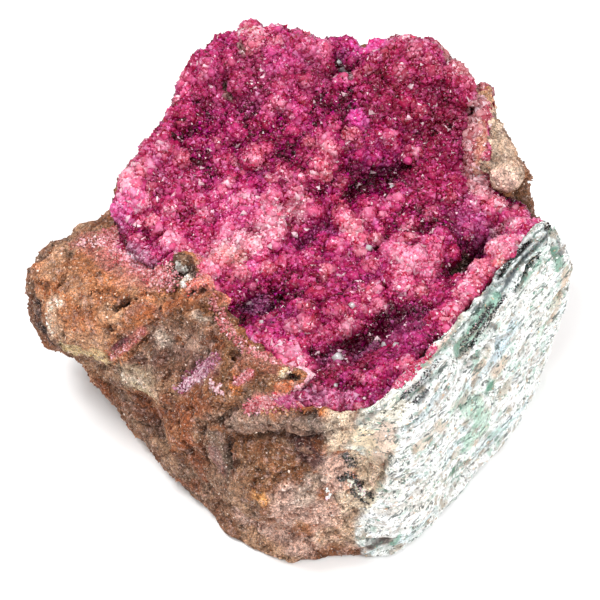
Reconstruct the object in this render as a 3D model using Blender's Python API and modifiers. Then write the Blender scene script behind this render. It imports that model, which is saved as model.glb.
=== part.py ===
"""A hand specimen of cobaltoan calcite: a broken block of brown rock about 60 mm across, with a shallow
pocket across its top that is lined with one pink crust of rhombohedral crystals. It rests on a flat break.
+X is right, -Y the front corner between the brown face and the pale one, +Z up.

Sizes and places below are in millimetres. The scene is in metres.
"""

import math
import random

import bmesh
import bpy
from mathutils import Euler, Matrix, Vector, geometry, noise

MM = 0.001
SEED = 27

# Corners of the block, (x, y, z). Its faces are the flat breaks between them.
BASE_CORNERS = [
    (-20.5, -2.5, -2), (-17, -8.8, -2), (-11.6, -18.6, -2), (-7, -25.2, -2), (-1.2, -28.4, -2), (4.6, -26.8, -2),
    (9.6, -26.6, -2), (14.8, -22, -2), (22.4, -11.2, -2), (25.6, -1.5, -2), (26, 5, -2), (22.5, 14, -2),
    (13.5, 20.5, -2), (-5, 22, -2), (-13.5, 17, -2), (-19, 8, -2),
]
BELT_CORNERS = [
    (30.2, -1.0, 19.5), (29.8, -1.4, 13), (27.6, 1, 5), (24.2, -9.4, 12), (17.4, -18.6, 13), (-4.4, -23.8, 19.6),
    (3.4, -25.4, 20.6), (-11.4, -19.4, 16.4), (-17.2, -12.4, 9.6), (-22.6, -7, 6.4), (-26.4, -4.4, 9.4),
    (23.8, 13, 15), (-13, 19.5, 17), (13.5, 23, 17), (-20.5, 8, 14),
]
TOP_CORNERS = [
    (11.4, -26.2, 24), (29, -1.4, 23.6), (9.2, -26.4, 25.4), (26.8, -0.2, 26.2), (3.4, -27, 23.4), (-3, -23, 23.2),
    (-7.4, -19.4, 22.8), (-12.4, -9.4, 21.8), (-22.4, 4.6, 20), (-18.2, 9, 24.4), (-14.8, 14.8, 28.4),
    (-11.6, 20, 30.4), (-8, 23.2, 30.6), (0, 23.4, 30.8), (12.4, 22.6, 30.4), (19, 19, 30), (21.8, 15.6, 29.4),
    (21.6, 12, 26.6), (23.2, 9.6, 22.6), (25.4, 4.6, 22.6),
]

# Rounded swellings of the rock: (x, y, z), (radius x, radius y, radius z)
SWELLINGS = {
    "sandy_lobe": ((-21.8, -0.5, 14.2), (8.5, 8.6, 7.5)),
    "lobe_neck": ((-15.4, -5.4, 14.2), (8.0, 7.2, 7.6)),
    "dark_knob": ((-27.0, -0.8, 10.2), (3.7, 4.0, 4.2)),
    "right_beak": ((22.8, 9.8, 21.8), (2.9, 3.2, 3.6)),
    "front_boulder": ((-3.6, -22.8, 9.8), (5.4, 5.4, 5.3)),
}
# Rounded hollows in the rock's sides: (x, y, z), (radius x, radius y, radius z)
HOLLOWS = {
    "under_the_left_rim": ((-16.2, -15.8, 21.3), (6.8, 6.0, 5.6)),
    "lower_left": ((-18.9, -16.4, 9.2), (5.4, 5.2, 5.0)),
    "beside_the_boulder": ((6.4, -31.6, 15.6), (5.6, 6.4, 6.4)),
    "under_the_lobe": ((-27.6, -8.6, 6.4), (5.4, 4.4, 3.4)),
    "back_left": ((-22.6, 14.6, 19.6), (7.4, 6.2, 7.6)),
    "back_right": ((24.6, 20.8, 12.8), (8.0, 6.4, 6.6)),
    "under_the_beak": ((27.2, 6.3, 23.0), (3.0, 1.7, 2.0)),
}
# Flat breaks: the way each faces, and how deep it cuts into the block's outermost point that way.
BREAKS = {
    "front_left": ((-0.62, -0.78, 0.10), 0.9),
    "front": ((0.10, -0.99, 0.12), 0.7),
    "front_foot": ((-0.25, -0.83, -0.50), 1.1),
    "left_foot": ((-0.80, 0.10, -0.59), 1.2),
    "back": ((-0.10, 0.98, 0.18), 1.0),
    "back_foot": ((0.12, 0.86, -0.50), 1.5),
    "right_back": ((0.90, 0.42, -0.08), 1.5),
}
ROCK_VOXEL = 0.9
# Each roughness is a noise of this grain, moving the surface in and out by this much.
ROCK_ROUGHNESS = [(9.0, 1.0), (3.6, 0.55)]
ROCK_TRIANGLES = 3200

# The crust's edge in plan, (x, y, free). A free corner lies on the rock's own outer edge, where no rim of
# rock stands round the crust.
CRUST_EDGE = [
    (-20.2, 6.2, True), (-20.9, 2.6, False), (-17.4, -0.6, False), (-15.6, -2.8, False), (-12.6, -3.4, False),
    (-11.2, -6.4, False), (-8.8, -9.2, False), (-8.6, -13.4, False), (-6.8, -18.4, False), (-3.4, -20.8, False),
    (0.6, -23.8, False), (4.6, -25.3, False), (8.5, -24.9, False), (13.9, -17.7, False), (18.9, -10.8, False),
    (26.2, -0.4, False), (24.4, 4.6, True), (22.3, 6.0, False), (19.7, 7.6, False), (18.9, 9.8, False),
    (19.2, 14.4, False), (17.8, 18.8, True), (13, 21.4, True), (5.4, 20.8, True), (0, 22.2, True), (-8.2, 22.4, True),
    (-10.8, 19.8, True), (-14.4, 14.8, True), (-16.6, 11.2, True),
]
FREE_REACH = 9.0  # how far the pocket's cut runs on past a free edge
CRUST_THICKNESS = 2.6
FIT_GAP = 0.35
FLOOR_CELL = 2.8

# The crust's mean surface, before its relief: level at the front, climbing to the back, rolled over at a
# free edge, and turned up into a rim along the pale right face.
FRONT_LEVEL = 22.2
BACK_CLIMB = 10.4
CLIMB_FROM_Y = 0.0
CLIMB_TO_Y = 21.0
ROLL_WIDTH = 3.2
ROLL_DROP = 2.4
RIM_LINE = ((10.4, -21.8), (26.6, -0.2))
RIM_RISE = 3.0
RIM_WIDTH = 2.6
LEFT_RISE = 1.2

# Relief of the crust: (x, y), rise or fall, (half-length, half-width), turn of the length from +X in degrees
RELIEF = {
    "back_right_mound": ((12.4, 16.8), 2.0, (5.6, 3.0), 8),
    "ledge_over_the_crevice": ((10.2, 11.8), 1.0, (4.8, 1.8), 20),
    "crevice_under_the_ledge": ((9.4, 8.0), -5.0, (4.6, 1.7), 22),
    "left_pit": ((-4.4, -8.4), -4.6, (2.9, 2.3), 30),
    "trough_along_the_rim": ((7.2, -13.2), -3.8, (6.2, 2.1), 32),
    "channel_mouth": ((20.0, -0.8), -4.4, (5.0, 1.6), 48),
    "hollow_by_the_lobe": ((-16.6, 1.0), -2.0, (2.2, 1.8), 20),
    "back_left_hole": ((-8.2, 16.2), -2.4, (1.3, 1.9), 0),
    "back_left_corner": ((-8.4, 21.8), 1.4, (2.6, 2.0), 0),
    "back_notch": ((4.4, 20.8), -2.2, (1.9, 1.5), 0),
    "notch_foot": ((4.8, 17.2), -1.6, (2.2, 1.6), 0),
    "middle_dimple": ((0.9, 1.0), -2.4, (2.2, 1.5), 28),
    "upper_left_hollow": ((-9.6, 14.0), -1.7, (2.6, 2.2), 60),
    "upper_right_hollow": ((15.8, 12.6), -1.6, (3.4, 2.0), 80),
    "bright_ridge": ((-4.2, 4.0), 1.6, (6.6, 2.4), 12),
    "centre_ball": ((6.4, 1.6), 2.2, (2.7, 2.3), 0),
    "right_mound": ((13.0, -3.2), 2.2, (4.2, 2.8), 42),
    "front_mound": ((1.2, -12.2), 2.2, (3.4, 2.7), 30),
    "front_lip": ((-2.0, -17.6), 1.0, (2.4, 2.0), 50),
    "back_left_mound": ((-12.0, 19.4), 1.5, (2.8, 2.8), 0),
    "back_mound": ((-2.6, 22.0), 1.7, (3.4, 2.4), 0),
    "back_tuft": ((7.6, 22.4), 1.3, (2.1, 2.0), 0),
    "left_edge_mound": ((-18.0, 6.2), 0.6, (2.8, 2.4), 60),
}

# Crystals: each is a cube squashed along its body diagonal, which makes the blunt rhombohedron of calcite.
CRYSTAL_SPACING = 3.15
CRYSTAL_EDGE = (2.1, 3.4)
RHOMB_SQUASH = (0.70, 1.15)  # from the flat cleavage rhomb to a steeper one
CRYSTAL_TILT_DEG = 34
CRYSTAL_SINK = 0.34  # of the crystal's edge, below the crust's surface
CRYSTAL_KEEP_IN = 0.9
CRYSTAL_CLEARANCE = 0.9  # least height of a crystal over the pocket's floor

COLOURS = {
    "matrix_rock": ((0.40, 0.27, 0.17, 1), 0.9),
    "calcite_crust": ((0.62, 0.07, 0.26, 1), 0.3),
}


def metres(values):
    """Millimetres to a vector in metres."""
    return Vector(values) * MM


def clear_scene():
    for obj in list(bpy.data.objects):
        bpy.data.objects.remove(obj)


def new_collection(name):
    collection = bpy.data.collections.new(name)
    bpy.context.scene.collection.children.link(collection)
    return collection


def mesh_object(name, bm, collection):
    """A new object from a bmesh, which is freed."""
    mesh = bpy.data.meshes.new(name)
    bm.to_mesh(mesh)
    bm.free()
    obj = bpy.data.objects.new(name, mesh)
    collection.objects.link(obj)
    return obj


def evaluated_mesh(obj):
    """The object's mesh with its modifiers applied, in world space."""
    bpy.context.view_layer.update()
    graph = bpy.context.evaluated_depsgraph_get()
    mesh = bpy.data.meshes.new_from_object(obj.evaluated_get(graph))
    mesh.transform(obj.matrix_world)
    return mesh


def make_cutter(obj):
    obj.hide_render = True
    obj.display_type = "WIRE"
    return obj


def add_boolean(obj, operation, other):
    modifier = obj.modifiers.new(operation.lower() + "_" + other.name, "BOOLEAN")
    modifier.operation = operation
    modifier.object = other
    modifier.solver = "EXACT"
    return modifier


def smooth_step(value, start, end):
    share = min(1.0, max(0.0, (value - start) / (end - start)))
    return share * share * (3 - 2 * share)


def line_distance(x, y, start, end):
    """Distance in plan from a point to a stretch of line."""
    point, share = geometry.intersect_point_line(Vector((x, y)), Vector(start), Vector(end))
    share = min(1.0, max(0.0, share))
    nearest = Vector(start).lerp(Vector(end), share)
    return (Vector((x, y)) - nearest).length


def free_edge_distance(x, y):
    """Distance in plan from a point to the nearest free stretch of the crust's edge."""
    count = len(CRUST_EDGE)
    nearest = FREE_REACH
    for i, (ax, ay, a_free) in enumerate(CRUST_EDGE):
        bx, by, b_free = CRUST_EDGE[(i + 1) % count]
        if a_free and b_free:
            nearest = min(nearest, line_distance(x, y, (ax, ay), (bx, by)))
    return nearest


def relief_at(x, y):
    """Sum of the crust's mounds and hollows, each a smooth bell."""
    total = 0.0
    for (cx, cy), rise, (length, width), turn in RELIEF.values():
        angle = math.radians(turn)
        dx, dy = x - cx, y - cy
        along = (dx * math.cos(angle) + dy * math.sin(angle)) / length
        across = (dy * math.cos(angle) - dx * math.sin(angle)) / width
        total += rise * math.exp(-(along * along + across * across))
    return total


def crust_height(x, y):
    """Height of the crust's mean surface at a place in plan."""
    level = FRONT_LEVEL + BACK_CLIMB * smooth_step(y, CLIMB_FROM_Y, CLIMB_TO_Y)
    level += LEFT_RISE * smooth_step(-x, 8, 20)
    rim = line_distance(x, y, *RIM_LINE) / RIM_WIDTH
    level += RIM_RISE * math.exp(-rim * rim)
    roll = 1 - min(1.0, free_edge_distance(x, y) / ROLL_WIDTH)
    return level - ROLL_DROP * roll * roll + relief_at(x, y)


def floor_height(x, y):
    return crust_height(x, y) - CRUST_THICKNESS


def edge_offset(points, distance):
    """The outline moved outwards by a distance, or inwards if it is negative. The points run anticlockwise."""
    moved = []
    for i, point in enumerate(points):
        before, after = points[i - 1], points[(i + 1) % len(points)]
        first = (point - before).normalized()
        second = (after - point).normalized()
        outward = Vector((first.y + second.y, -first.x - second.x)).normalized()
        stretch = max(0.5, outward.dot(Vector((first.y, -first.x))))
        moved.append(point + outward * distance / stretch)
    return moved


def crust_outline():
    return [Vector((x, y)) for x, y, _ in CRUST_EDGE]


def pocket_outline():
    """The crust's outline, with its free corners moved out past the rock."""
    centre = Vector((0, 2))
    return [
        Vector((x, y)) + (Vector((x, y)) - centre).normalized() * (FREE_REACH if free else 0)
        for x, y, free in CRUST_EDGE
    ]


def outline_prism(name, points, low, high, collection):
    """An upright prism on a flat outline, from height low to high."""
    curve = bpy.data.curves.new(name, "CURVE")
    curve.dimensions = "2D"
    curve.fill_mode = "BOTH"
    curve.extrude = (high - low) / 2 * MM
    spline = curve.splines.new("POLY")
    spline.points.add(len(points) - 1)
    for spline_point, point in zip(spline.points, points):
        spline_point.co = (point.x * MM, point.y * MM, 0, 1)
    spline.use_cyclic_u = True
    guide = bpy.data.objects.new(name + "_guide", curve)
    guide.location.z = (high + low) / 2 * MM
    collection.objects.link(guide)
    mesh = evaluated_mesh(guide)
    bpy.data.objects.remove(guide)
    bm = bmesh.new()
    bm.from_mesh(mesh)
    bpy.data.meshes.remove(mesh)
    bmesh.ops.remove_doubles(bm, verts=bm.verts, dist=0.01 * MM)
    bmesh.ops.recalc_face_normals(bm, faces=bm.faces)
    return make_cutter(mesh_object(name, bm, collection))


def slab_over_floor(name, lift, top, collection):
    """A closed slab on the pocket's floor grid, lifted by lift. top gives the height of its upper face."""
    half = 34.0
    cells = round(2 * half / FLOOR_CELL)
    bm = bmesh.new()
    bmesh.ops.create_grid(bm, x_segments=cells, y_segments=cells, size=half * MM)
    lower = list(bm.verts)
    grown = bmesh.ops.extrude_face_region(bm, geom=list(bm.faces))
    upper = [v for v in grown["geom"] if isinstance(v, bmesh.types.BMVert)]
    for v in upper:
        v.co.z = top(v.co.x / MM, v.co.y / MM) * MM
    for v in lower:
        v.co.z = (floor_height(v.co.x / MM, v.co.y / MM) + lift) * MM
    bmesh.ops.triangulate(bm, faces=bm.faces)
    bmesh.ops.recalc_face_normals(bm, faces=bm.faces)
    return mesh_object(name, bm, collection)


def add_swelling(bm, centre, radii):
    placing = Matrix.Translation(metres(centre)) @ Matrix.Diagonal((*metres(radii), 1))
    bmesh.ops.create_icosphere(bm, subdivisions=3, radius=1, matrix=placing)


def rough_offset(point):
    """How far the broken rock stands out or in at a point, in millimetres."""
    total = 0.0
    for layer, (grain, depth) in enumerate(ROCK_ROUGHNESS):
        place = point / (grain * MM) + Vector((SEED + 7.3 * layer, 0, 0))
        total += depth * noise.noise(place)
    return total


def matrix_rock(collection, cutters):
    """The whole broken block with its swellings, hollows and flat breaks, thinned to its budget, cut flat below."""
    bm = bmesh.new()
    for corner in BASE_CORNERS + BELT_CORNERS + TOP_CORNERS:
        bm.verts.new(metres(corner))
    hull = bmesh.ops.convex_hull(bm, input=bm.verts)
    inside = [g for g in hull["geom_interior"] if isinstance(g, bmesh.types.BMVert)]
    bmesh.ops.delete(bm, geom=inside, context="VERTS")
    bmesh.ops.recalc_face_normals(bm, faces=bm.faces)
    for centre, radii in SWELLINGS.values():
        add_swelling(bm, centre, radii)
    block = mesh_object("block", bm, cutters)
    skin = block.modifiers.new("one_skin", "REMESH")
    skin.mode = "VOXEL"
    skin.voxel_size = ROCK_VOXEL * MM
    bm = bmesh.new()
    for centre, radii in HOLLOWS.values():
        add_swelling(bm, centre, radii)
    hollows = make_cutter(mesh_object("hollows", bm, cutters))
    add_boolean(block, "DIFFERENCE", hollows)
    mesh = evaluated_mesh(block)
    bpy.data.objects.remove(block)

    bm = bmesh.new()
    bm.from_mesh(mesh)
    bpy.data.meshes.remove(mesh)
    bm.normal_update()
    moves = [v.normal * rough_offset(v.co) * MM for v in bm.verts]
    for v, move in zip(bm.verts, moves):
        v.co += move
    for facing, depth in BREAKS.values():
        normal = Vector(facing).normalized()
        outermost = max(v.co.dot(normal) for v in bm.verts)
        cut_by_plane(bm, normal * (outermost - depth * MM), normal, keep_outer=False)
    bmesh.ops.triangulate(bm, faces=bm.faces)
    blank = mesh_object("blank", bm, cutters)
    thin = blank.modifiers.new("thin", "DECIMATE")
    thin.ratio = ROCK_TRIANGLES / len(blank.data.polygons)
    mesh = evaluated_mesh(blank)
    bpy.data.objects.remove(blank)

    bm = bmesh.new()
    bm.from_mesh(mesh)
    bpy.data.meshes.remove(mesh)
    cut_by_plane(bm, Vector((0, 0, 0)), Vector((0, 0, 1)), keep_outer=True)
    return mesh_object("matrix_rock", bm, collection)


def cut_by_plane(bm, point, normal, keep_outer):
    """Cuts the mesh by a plane, keeps one side and closes the cut."""
    bmesh.ops.bisect_plane(
        bm,
        geom=bm.verts[:] + bm.edges[:] + bm.faces[:],
        plane_co=point,
        plane_no=normal,
        clear_inner=keep_outer,
        clear_outer=not keep_outer,
    )
    open_edges = [e for e in bm.edges if e.is_boundary]
    bmesh.ops.holes_fill(bm, edges=open_edges, sides=0)
    bmesh.ops.triangulate(bm, faces=bm.faces)
    bmesh.ops.recalc_face_normals(bm, faces=bm.faces)


def surface_normal(x, y):
    """Outward normal of the crust's mean surface."""
    step = 0.4
    slope_x = (crust_height(x + step, y) - crust_height(x - step, y)) / (2 * step)
    slope_y = (crust_height(x, y + step) - crust_height(x, y - step)) / (2 * step)
    return Vector((-slope_x, -slope_y, 1)).normalized()


def crystal_places():
    """Places in plan for the crystals: a hexagonal net, each place a little off it."""
    draw = random.Random(SEED)
    outline = edge_offset(crust_outline(), -CRYSTAL_KEEP_IN)
    row_step = CRYSTAL_SPACING * math.sqrt(3) / 2
    low, high = -26.0, 28.0
    for row in range(round((high - low) / row_step)):
        for column in range(round((high - low) / CRYSTAL_SPACING) + 1):
            x = low + (column + 0.5 * (row % 2)) * CRYSTAL_SPACING + draw.uniform(-0.8, 0.8)
            y = low + row * row_step + draw.uniform(-0.8, 0.8)
            if inside_outline(x, y, outline):
                yield x, y


def inside_outline(x, y, outline):
    inside = False
    for i, a in enumerate(outline):
        b = outline[i - 1]
        if (a.y > y) != (b.y > y) and x < a.x + (b.x - a.x) * (y - a.y) / (b.y - a.y):
            inside = not inside
    return inside


def rhomb_matrix(squash):
    """Stands a cube on its corner, along +Z, and squashes it along that diagonal."""
    diagonal = Vector((1, 1, 1)).normalized()
    upright = diagonal.rotation_difference(Vector((0, 0, 1))).to_matrix().to_4x4()
    return Matrix.Diagonal((1, 1, squash, 1)) @ upright


def crystals(collection):
    """All the crust's large crystals in one mesh, each with its tip out along the surface's normal, more or less."""
    draw = random.Random(SEED + 1)
    bm = bmesh.new()
    for x, y in crystal_places():
        edge = draw.uniform(*CRYSTAL_EDGE)
        tilt = math.radians(CRYSTAL_TILT_DEG)
        wobble = Euler((draw.uniform(-tilt, tilt), draw.uniform(-tilt, tilt), draw.uniform(0, math.tau)))
        outward = surface_normal(x, y)
        stand = Vector((0, 0, 1)).rotation_difference(outward).to_matrix().to_4x4()
        centre = metres((x, y, crust_height(x, y))) - outward * edge * CRYSTAL_SINK * MM
        placing = (
            Matrix.Translation(centre)
            @ stand
            @ wobble.to_matrix().to_4x4()
            @ rhomb_matrix(draw.uniform(*RHOMB_SQUASH))
        )
        bmesh.ops.create_cube(bm, size=edge * MM, matrix=placing)
    return make_cutter(mesh_object("crystals", bm, collection))


def calcite_crust(collection, cutters):
    """The crust: a sheet on the pocket's floor, with its crystals, cut off inside it, joined on."""
    crust = slab_over_floor("calcite_crust", FIT_GAP, crust_height, collection)
    footprint = edge_offset(crust_outline(), -FIT_GAP)
    add_boolean(crust, "INTERSECT", outline_prism("crust_footprint", footprint, 5, 60, cutters))
    loose = crystals(cutters)
    room = make_cutter(slab_over_floor("crystal_room", CRYSTAL_CLEARANCE, lambda x, y: 60, cutters))
    rim = edge_offset(pocket_outline(), -FIT_GAP)
    add_boolean(room, "INTERSECT", outline_prism("crystal_room_rim", rim, 5, 70, cutters))
    add_boolean(loose, "INTERSECT", room).use_self = True
    add_boolean(crust, "UNION", loose)
    return crust


def pocket_cutter(cutters):
    """What the pocket takes out of the block: everything above the floor, within the pocket's outline."""
    cutter = slab_over_floor("pocket", 0, lambda x, y: 60, cutters)
    prism = outline_prism("pocket_outline", pocket_outline(), 5, 70, cutters)
    add_boolean(cutter, "INTERSECT", prism)
    return make_cutter(cutter)


def give_material(obj):
    colour, roughness = COLOURS[obj.name]
    material = bpy.data.materials.new(obj.name)
    material.use_nodes = True
    shader = material.node_tree.nodes["Principled BSDF"]
    shader.inputs["Base Color"].default_value = colour
    shader.inputs["Roughness"].default_value = roughness
    material.diffuse_color = colour
    obj.data.materials.clear()
    obj.data.materials.append(material)


def centre_on_base(nodes, others):
    """Moves everything so that the middle of the specimen's underside is the origin."""
    corners = [v.co for node in nodes for v in evaluated_mesh(node).vertices]
    middle = Vector((
        (min(c.x for c in corners) + max(c.x for c in corners)) / 2,
        (min(c.y for c in corners) + max(c.y for c in corners)) / 2,
        min(c.z for c in corners),
    ))
    for obj in [*nodes, *others]:
        obj.location -= middle


def build():
    clear_scene()
    specimen = new_collection("cobaltoan_calcite_specimen")
    cutters = new_collection("cutters")
    rock = matrix_rock(specimen, cutters)
    add_boolean(rock, "DIFFERENCE", pocket_cutter(cutters))
    crust = calcite_crust(specimen, cutters)
    nodes = [rock, crust]
    for node in nodes:
        give_material(node)
    bpy.context.view_layer.update()
    centre_on_base(nodes, cutters.objects)


build()
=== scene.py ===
"""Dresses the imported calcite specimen: the broken brown block with its pale right face, the raspberry-pink
crust with its fine crystals, the floor, the light and the camera. Metres, +Z up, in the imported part's frame.
"""

import math

import bmesh
import bpy
import numpy as np
from mathutils import Euler, Matrix, Vector, noise
from mathutils.bvhtree import BVHTree
from mathutils.kdtree import KDTree


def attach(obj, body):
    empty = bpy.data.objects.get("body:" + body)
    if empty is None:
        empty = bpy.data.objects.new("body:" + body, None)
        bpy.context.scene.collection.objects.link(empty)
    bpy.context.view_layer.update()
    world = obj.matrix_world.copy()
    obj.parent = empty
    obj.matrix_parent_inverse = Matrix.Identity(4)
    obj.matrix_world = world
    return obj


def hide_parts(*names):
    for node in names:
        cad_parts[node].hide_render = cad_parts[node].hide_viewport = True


MM = 0.001

# The photograph is 600 pixels square, at this scale on the specimen.
PHOTO_SIDE = 600
PIXELS_PER_MM = 9.0
CAMERA_ELEVATION = math.radians(50)
CAMERA_DISTANCE = 0.45
SENSOR_MM = 36.0
LOOK_AT = Vector((0.4, -0.2, 15.0)) * MM

# The pale mineral skin covers the block beyond this plane, at its right.
PALE_PLANE_POINT = Vector((17.8, -10.6, 0)) * MM
PALE_PLANE_NORMAL = Vector((0.81, -0.586, -0.081)).normalized()
PALE_RUN = Vector((0.586, 0.81, 0)).normalized()  # the way its fibres and streaks run

# Size of a skin's faces and its rounds of smoothing: for the CAD shape alone, then with what is grown on it.
ROCK_ROUNDING = (0.6 * MM, 7)
ROCK_SKIN = (0.34 * MM, 2)
CRUST_ROUNDING = (0.5 * MM, 6)
CRUST_SKIN = (0.32 * MM, 1)
FINE_BALL = 2  # mm, the radius over which a ball is made of finer faces

# Where the pale skin begins, in mm beyond its plane, and where it reaches over the rock's shoulder.
FACE_EDGE = (-0.25, 0.35)
SHOULDER_EDGE = (-3.6, -3.0)
SHOULDER_HEIGHT = (15.5, 17.5)

# Relief as layers of noise: height in mm, grain in mm and seed.
RAGGED_EDGE = [(1.0, 1.6, 3), (0.5, 0.6, 5)]
ROCK_LUMPS = [(0.40, 3.4, 11), (0.26, 1.6, 13)]
ROCK_GRAINS = [(0.22, 0.95, 17), (0.16, 0.62, 19)]
PALE_FIBRES = [(0.38, 1.7, 23), (0.24, 0.8, 29)]
PALE_GRAINS = [(0.12, 0.7, 30)]
CRUST_GRAINS = [(0.14, 0.9, 51), (0.10, 0.45, 53)]

# Chips of the rock: size in mm, seed, height, how far in from a seam they level off, and how deep they lie.
ROCK_CHIPS = (5.5, 2.0, 0.7, 0.35, 0.2)
SMALL_CHIPS = (2.0, 7.0, 0.5, 0.25, 0.1)
CRACK_DEPTH = 0.5
FIBRE_STRETCH = 0.78
SPLIT_STRETCH = 0.85
PALE_SWELL = 0.25
FOOTING = 0.6  # mm above the floor where the relief has its full height

# Painted shade darkens the rock's hollows and painted light lightens its bumps: by how much, about which
# relief in mm, and within what.
SHADE_GAIN = 0.55
SHADE_MIDDLE = 0.12
SHADE_RANGE = (0.45, 1.3)

# Shares of a stroke's radius between which it fades.
PIT_FADE = (0.5, 1.1)
RIDGE_FADE = (0.2, 1.2)
CLEFT_FADE = (0.3, 1.1)
PAINT_FADE = (0.55, 1.25)
AREA_FADE = (0.2, 1.5)
FROST_FADE = (0.3, 1.2)

# Colours as seen, 0 to 255.
BROWN = (138, 102, 80)
GREY_BROWN = (152, 128, 112)
OCHRE = (198, 138, 98)
OCHRE_DARK = (162, 110, 76)
RUST = (150, 88, 56)
ORANGE = (206, 130, 70)
DARK_BROWN = (72, 52, 46)
OLIVE_BROWN = (140, 100, 70)
UMBER = (84, 58, 52)
TAN = (206, 176, 150)
PLUM_GREY = (140, 112, 106)
CREAM = (244, 222, 190)
OFF_WHITE = (252, 254, 250)
MINT = (196, 222, 206)
MALACHITE = (92, 150, 126)
PALE_BLUE = (196, 214, 224)
SLATE = (78, 86, 90)
SLATE_PALE = (160, 166, 170)
PINK_STAIN = (216, 122, 132)
LILAC = (190, 124, 160)
PURPLE = (128, 66, 96)
SALMON = (230, 138, 124)
LICHEN = (204, 200, 164)
BLACK = (30, 28, 28)
RASPBERRY = (168, 32, 82)
PALE_PINK = (252, 164, 180)
MAUVE_PALE = (250, 226, 222)
PALE_CREAM = (255, 248, 232)
DUSTY_PINK = (206, 140, 142)
FROST = (250, 246, 244)
# The pale of painted glints on sand grains, then the dark brown of some grains of their own.
SAND_GLINT = (240, 216, 200)
SAND_DARK = (130, 84, 60)

# The brown rock's colours are laid on a little bright: this much of their red, green and blue is kept.
ROCK_TONE = (0.86, 0.72, 0.62)

# Balls grown onto the rock before it is skinned: pixel, radius in mm, lift as a share of it.
ROCK_BALLS = [
    ((250, 369), 1.9, -0.1), ((262, 371), 1.8, -0.05), ((274, 372), 1.6, 0.05), ((285, 374), 1.4, 0.2),
    ((295, 376), 1.2, 0.35), ((303, 378), 1.0, 0.5), ((309, 380), 0.8, 0.6), ((270, 386), 1.4, 0.0),
    ((283, 388), 1.2, 0.1), ((295, 387), 1.0, 0.3), ((303, 384), 0.8, 0.5),
    ((218, 302), 1.3, -0.1), ((222, 314), 1.4, 0.1), ((226, 326), 1.5, 0.1), ((232, 338), 1.5, 0.1),
    ((242, 348), 1.4, 0.1), ((254, 355), 1.3, 0.1), ((266, 360), 1.2, 0.1), ((278, 364), 1.0, 0.15),
    ((230, 430), 1.6, -0.5), ((300, 426), 1.6, -0.5), ((318, 428), 1.3, -0.5), ((222, 404), 1.5, -0.5),
    ((205, 330), 1.6, -0.5),
    ((190, 318), 1.3, -0.5), ((166, 330), 1.2, -0.5), ((128, 384), 1.8, -0.5), ((150, 374), 1.4, -0.5),
    ((182, 270), 2.5, -0.62), ((170, 278), 2.2, -0.62), ((196, 286), 1.8, -0.55), ((160, 268), 1.6, -0.6),
    ((60, 303), 0.7, -0.3), ((54, 299), 0.6, -0.2), ((49, 304), 0.6, -0.1), ((48, 314), 0.6, -0.1),
    ((49, 325), 0.6, -0.1), ((52, 336), 0.6, -0.2), ((55, 348), 0.6, -0.2),
    ((486, 96), 1.3, -0.4), ((489, 108), 1.4, -0.4), ((490, 122), 1.4, -0.45), ((490, 138), 1.4, -0.45),
    ((492, 156), 1.6, -0.5), ((494, 172), 1.5, -0.5), ((510, 168), 2.0, -0.6), ((512, 180), 1.4, -0.5),
]

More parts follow.
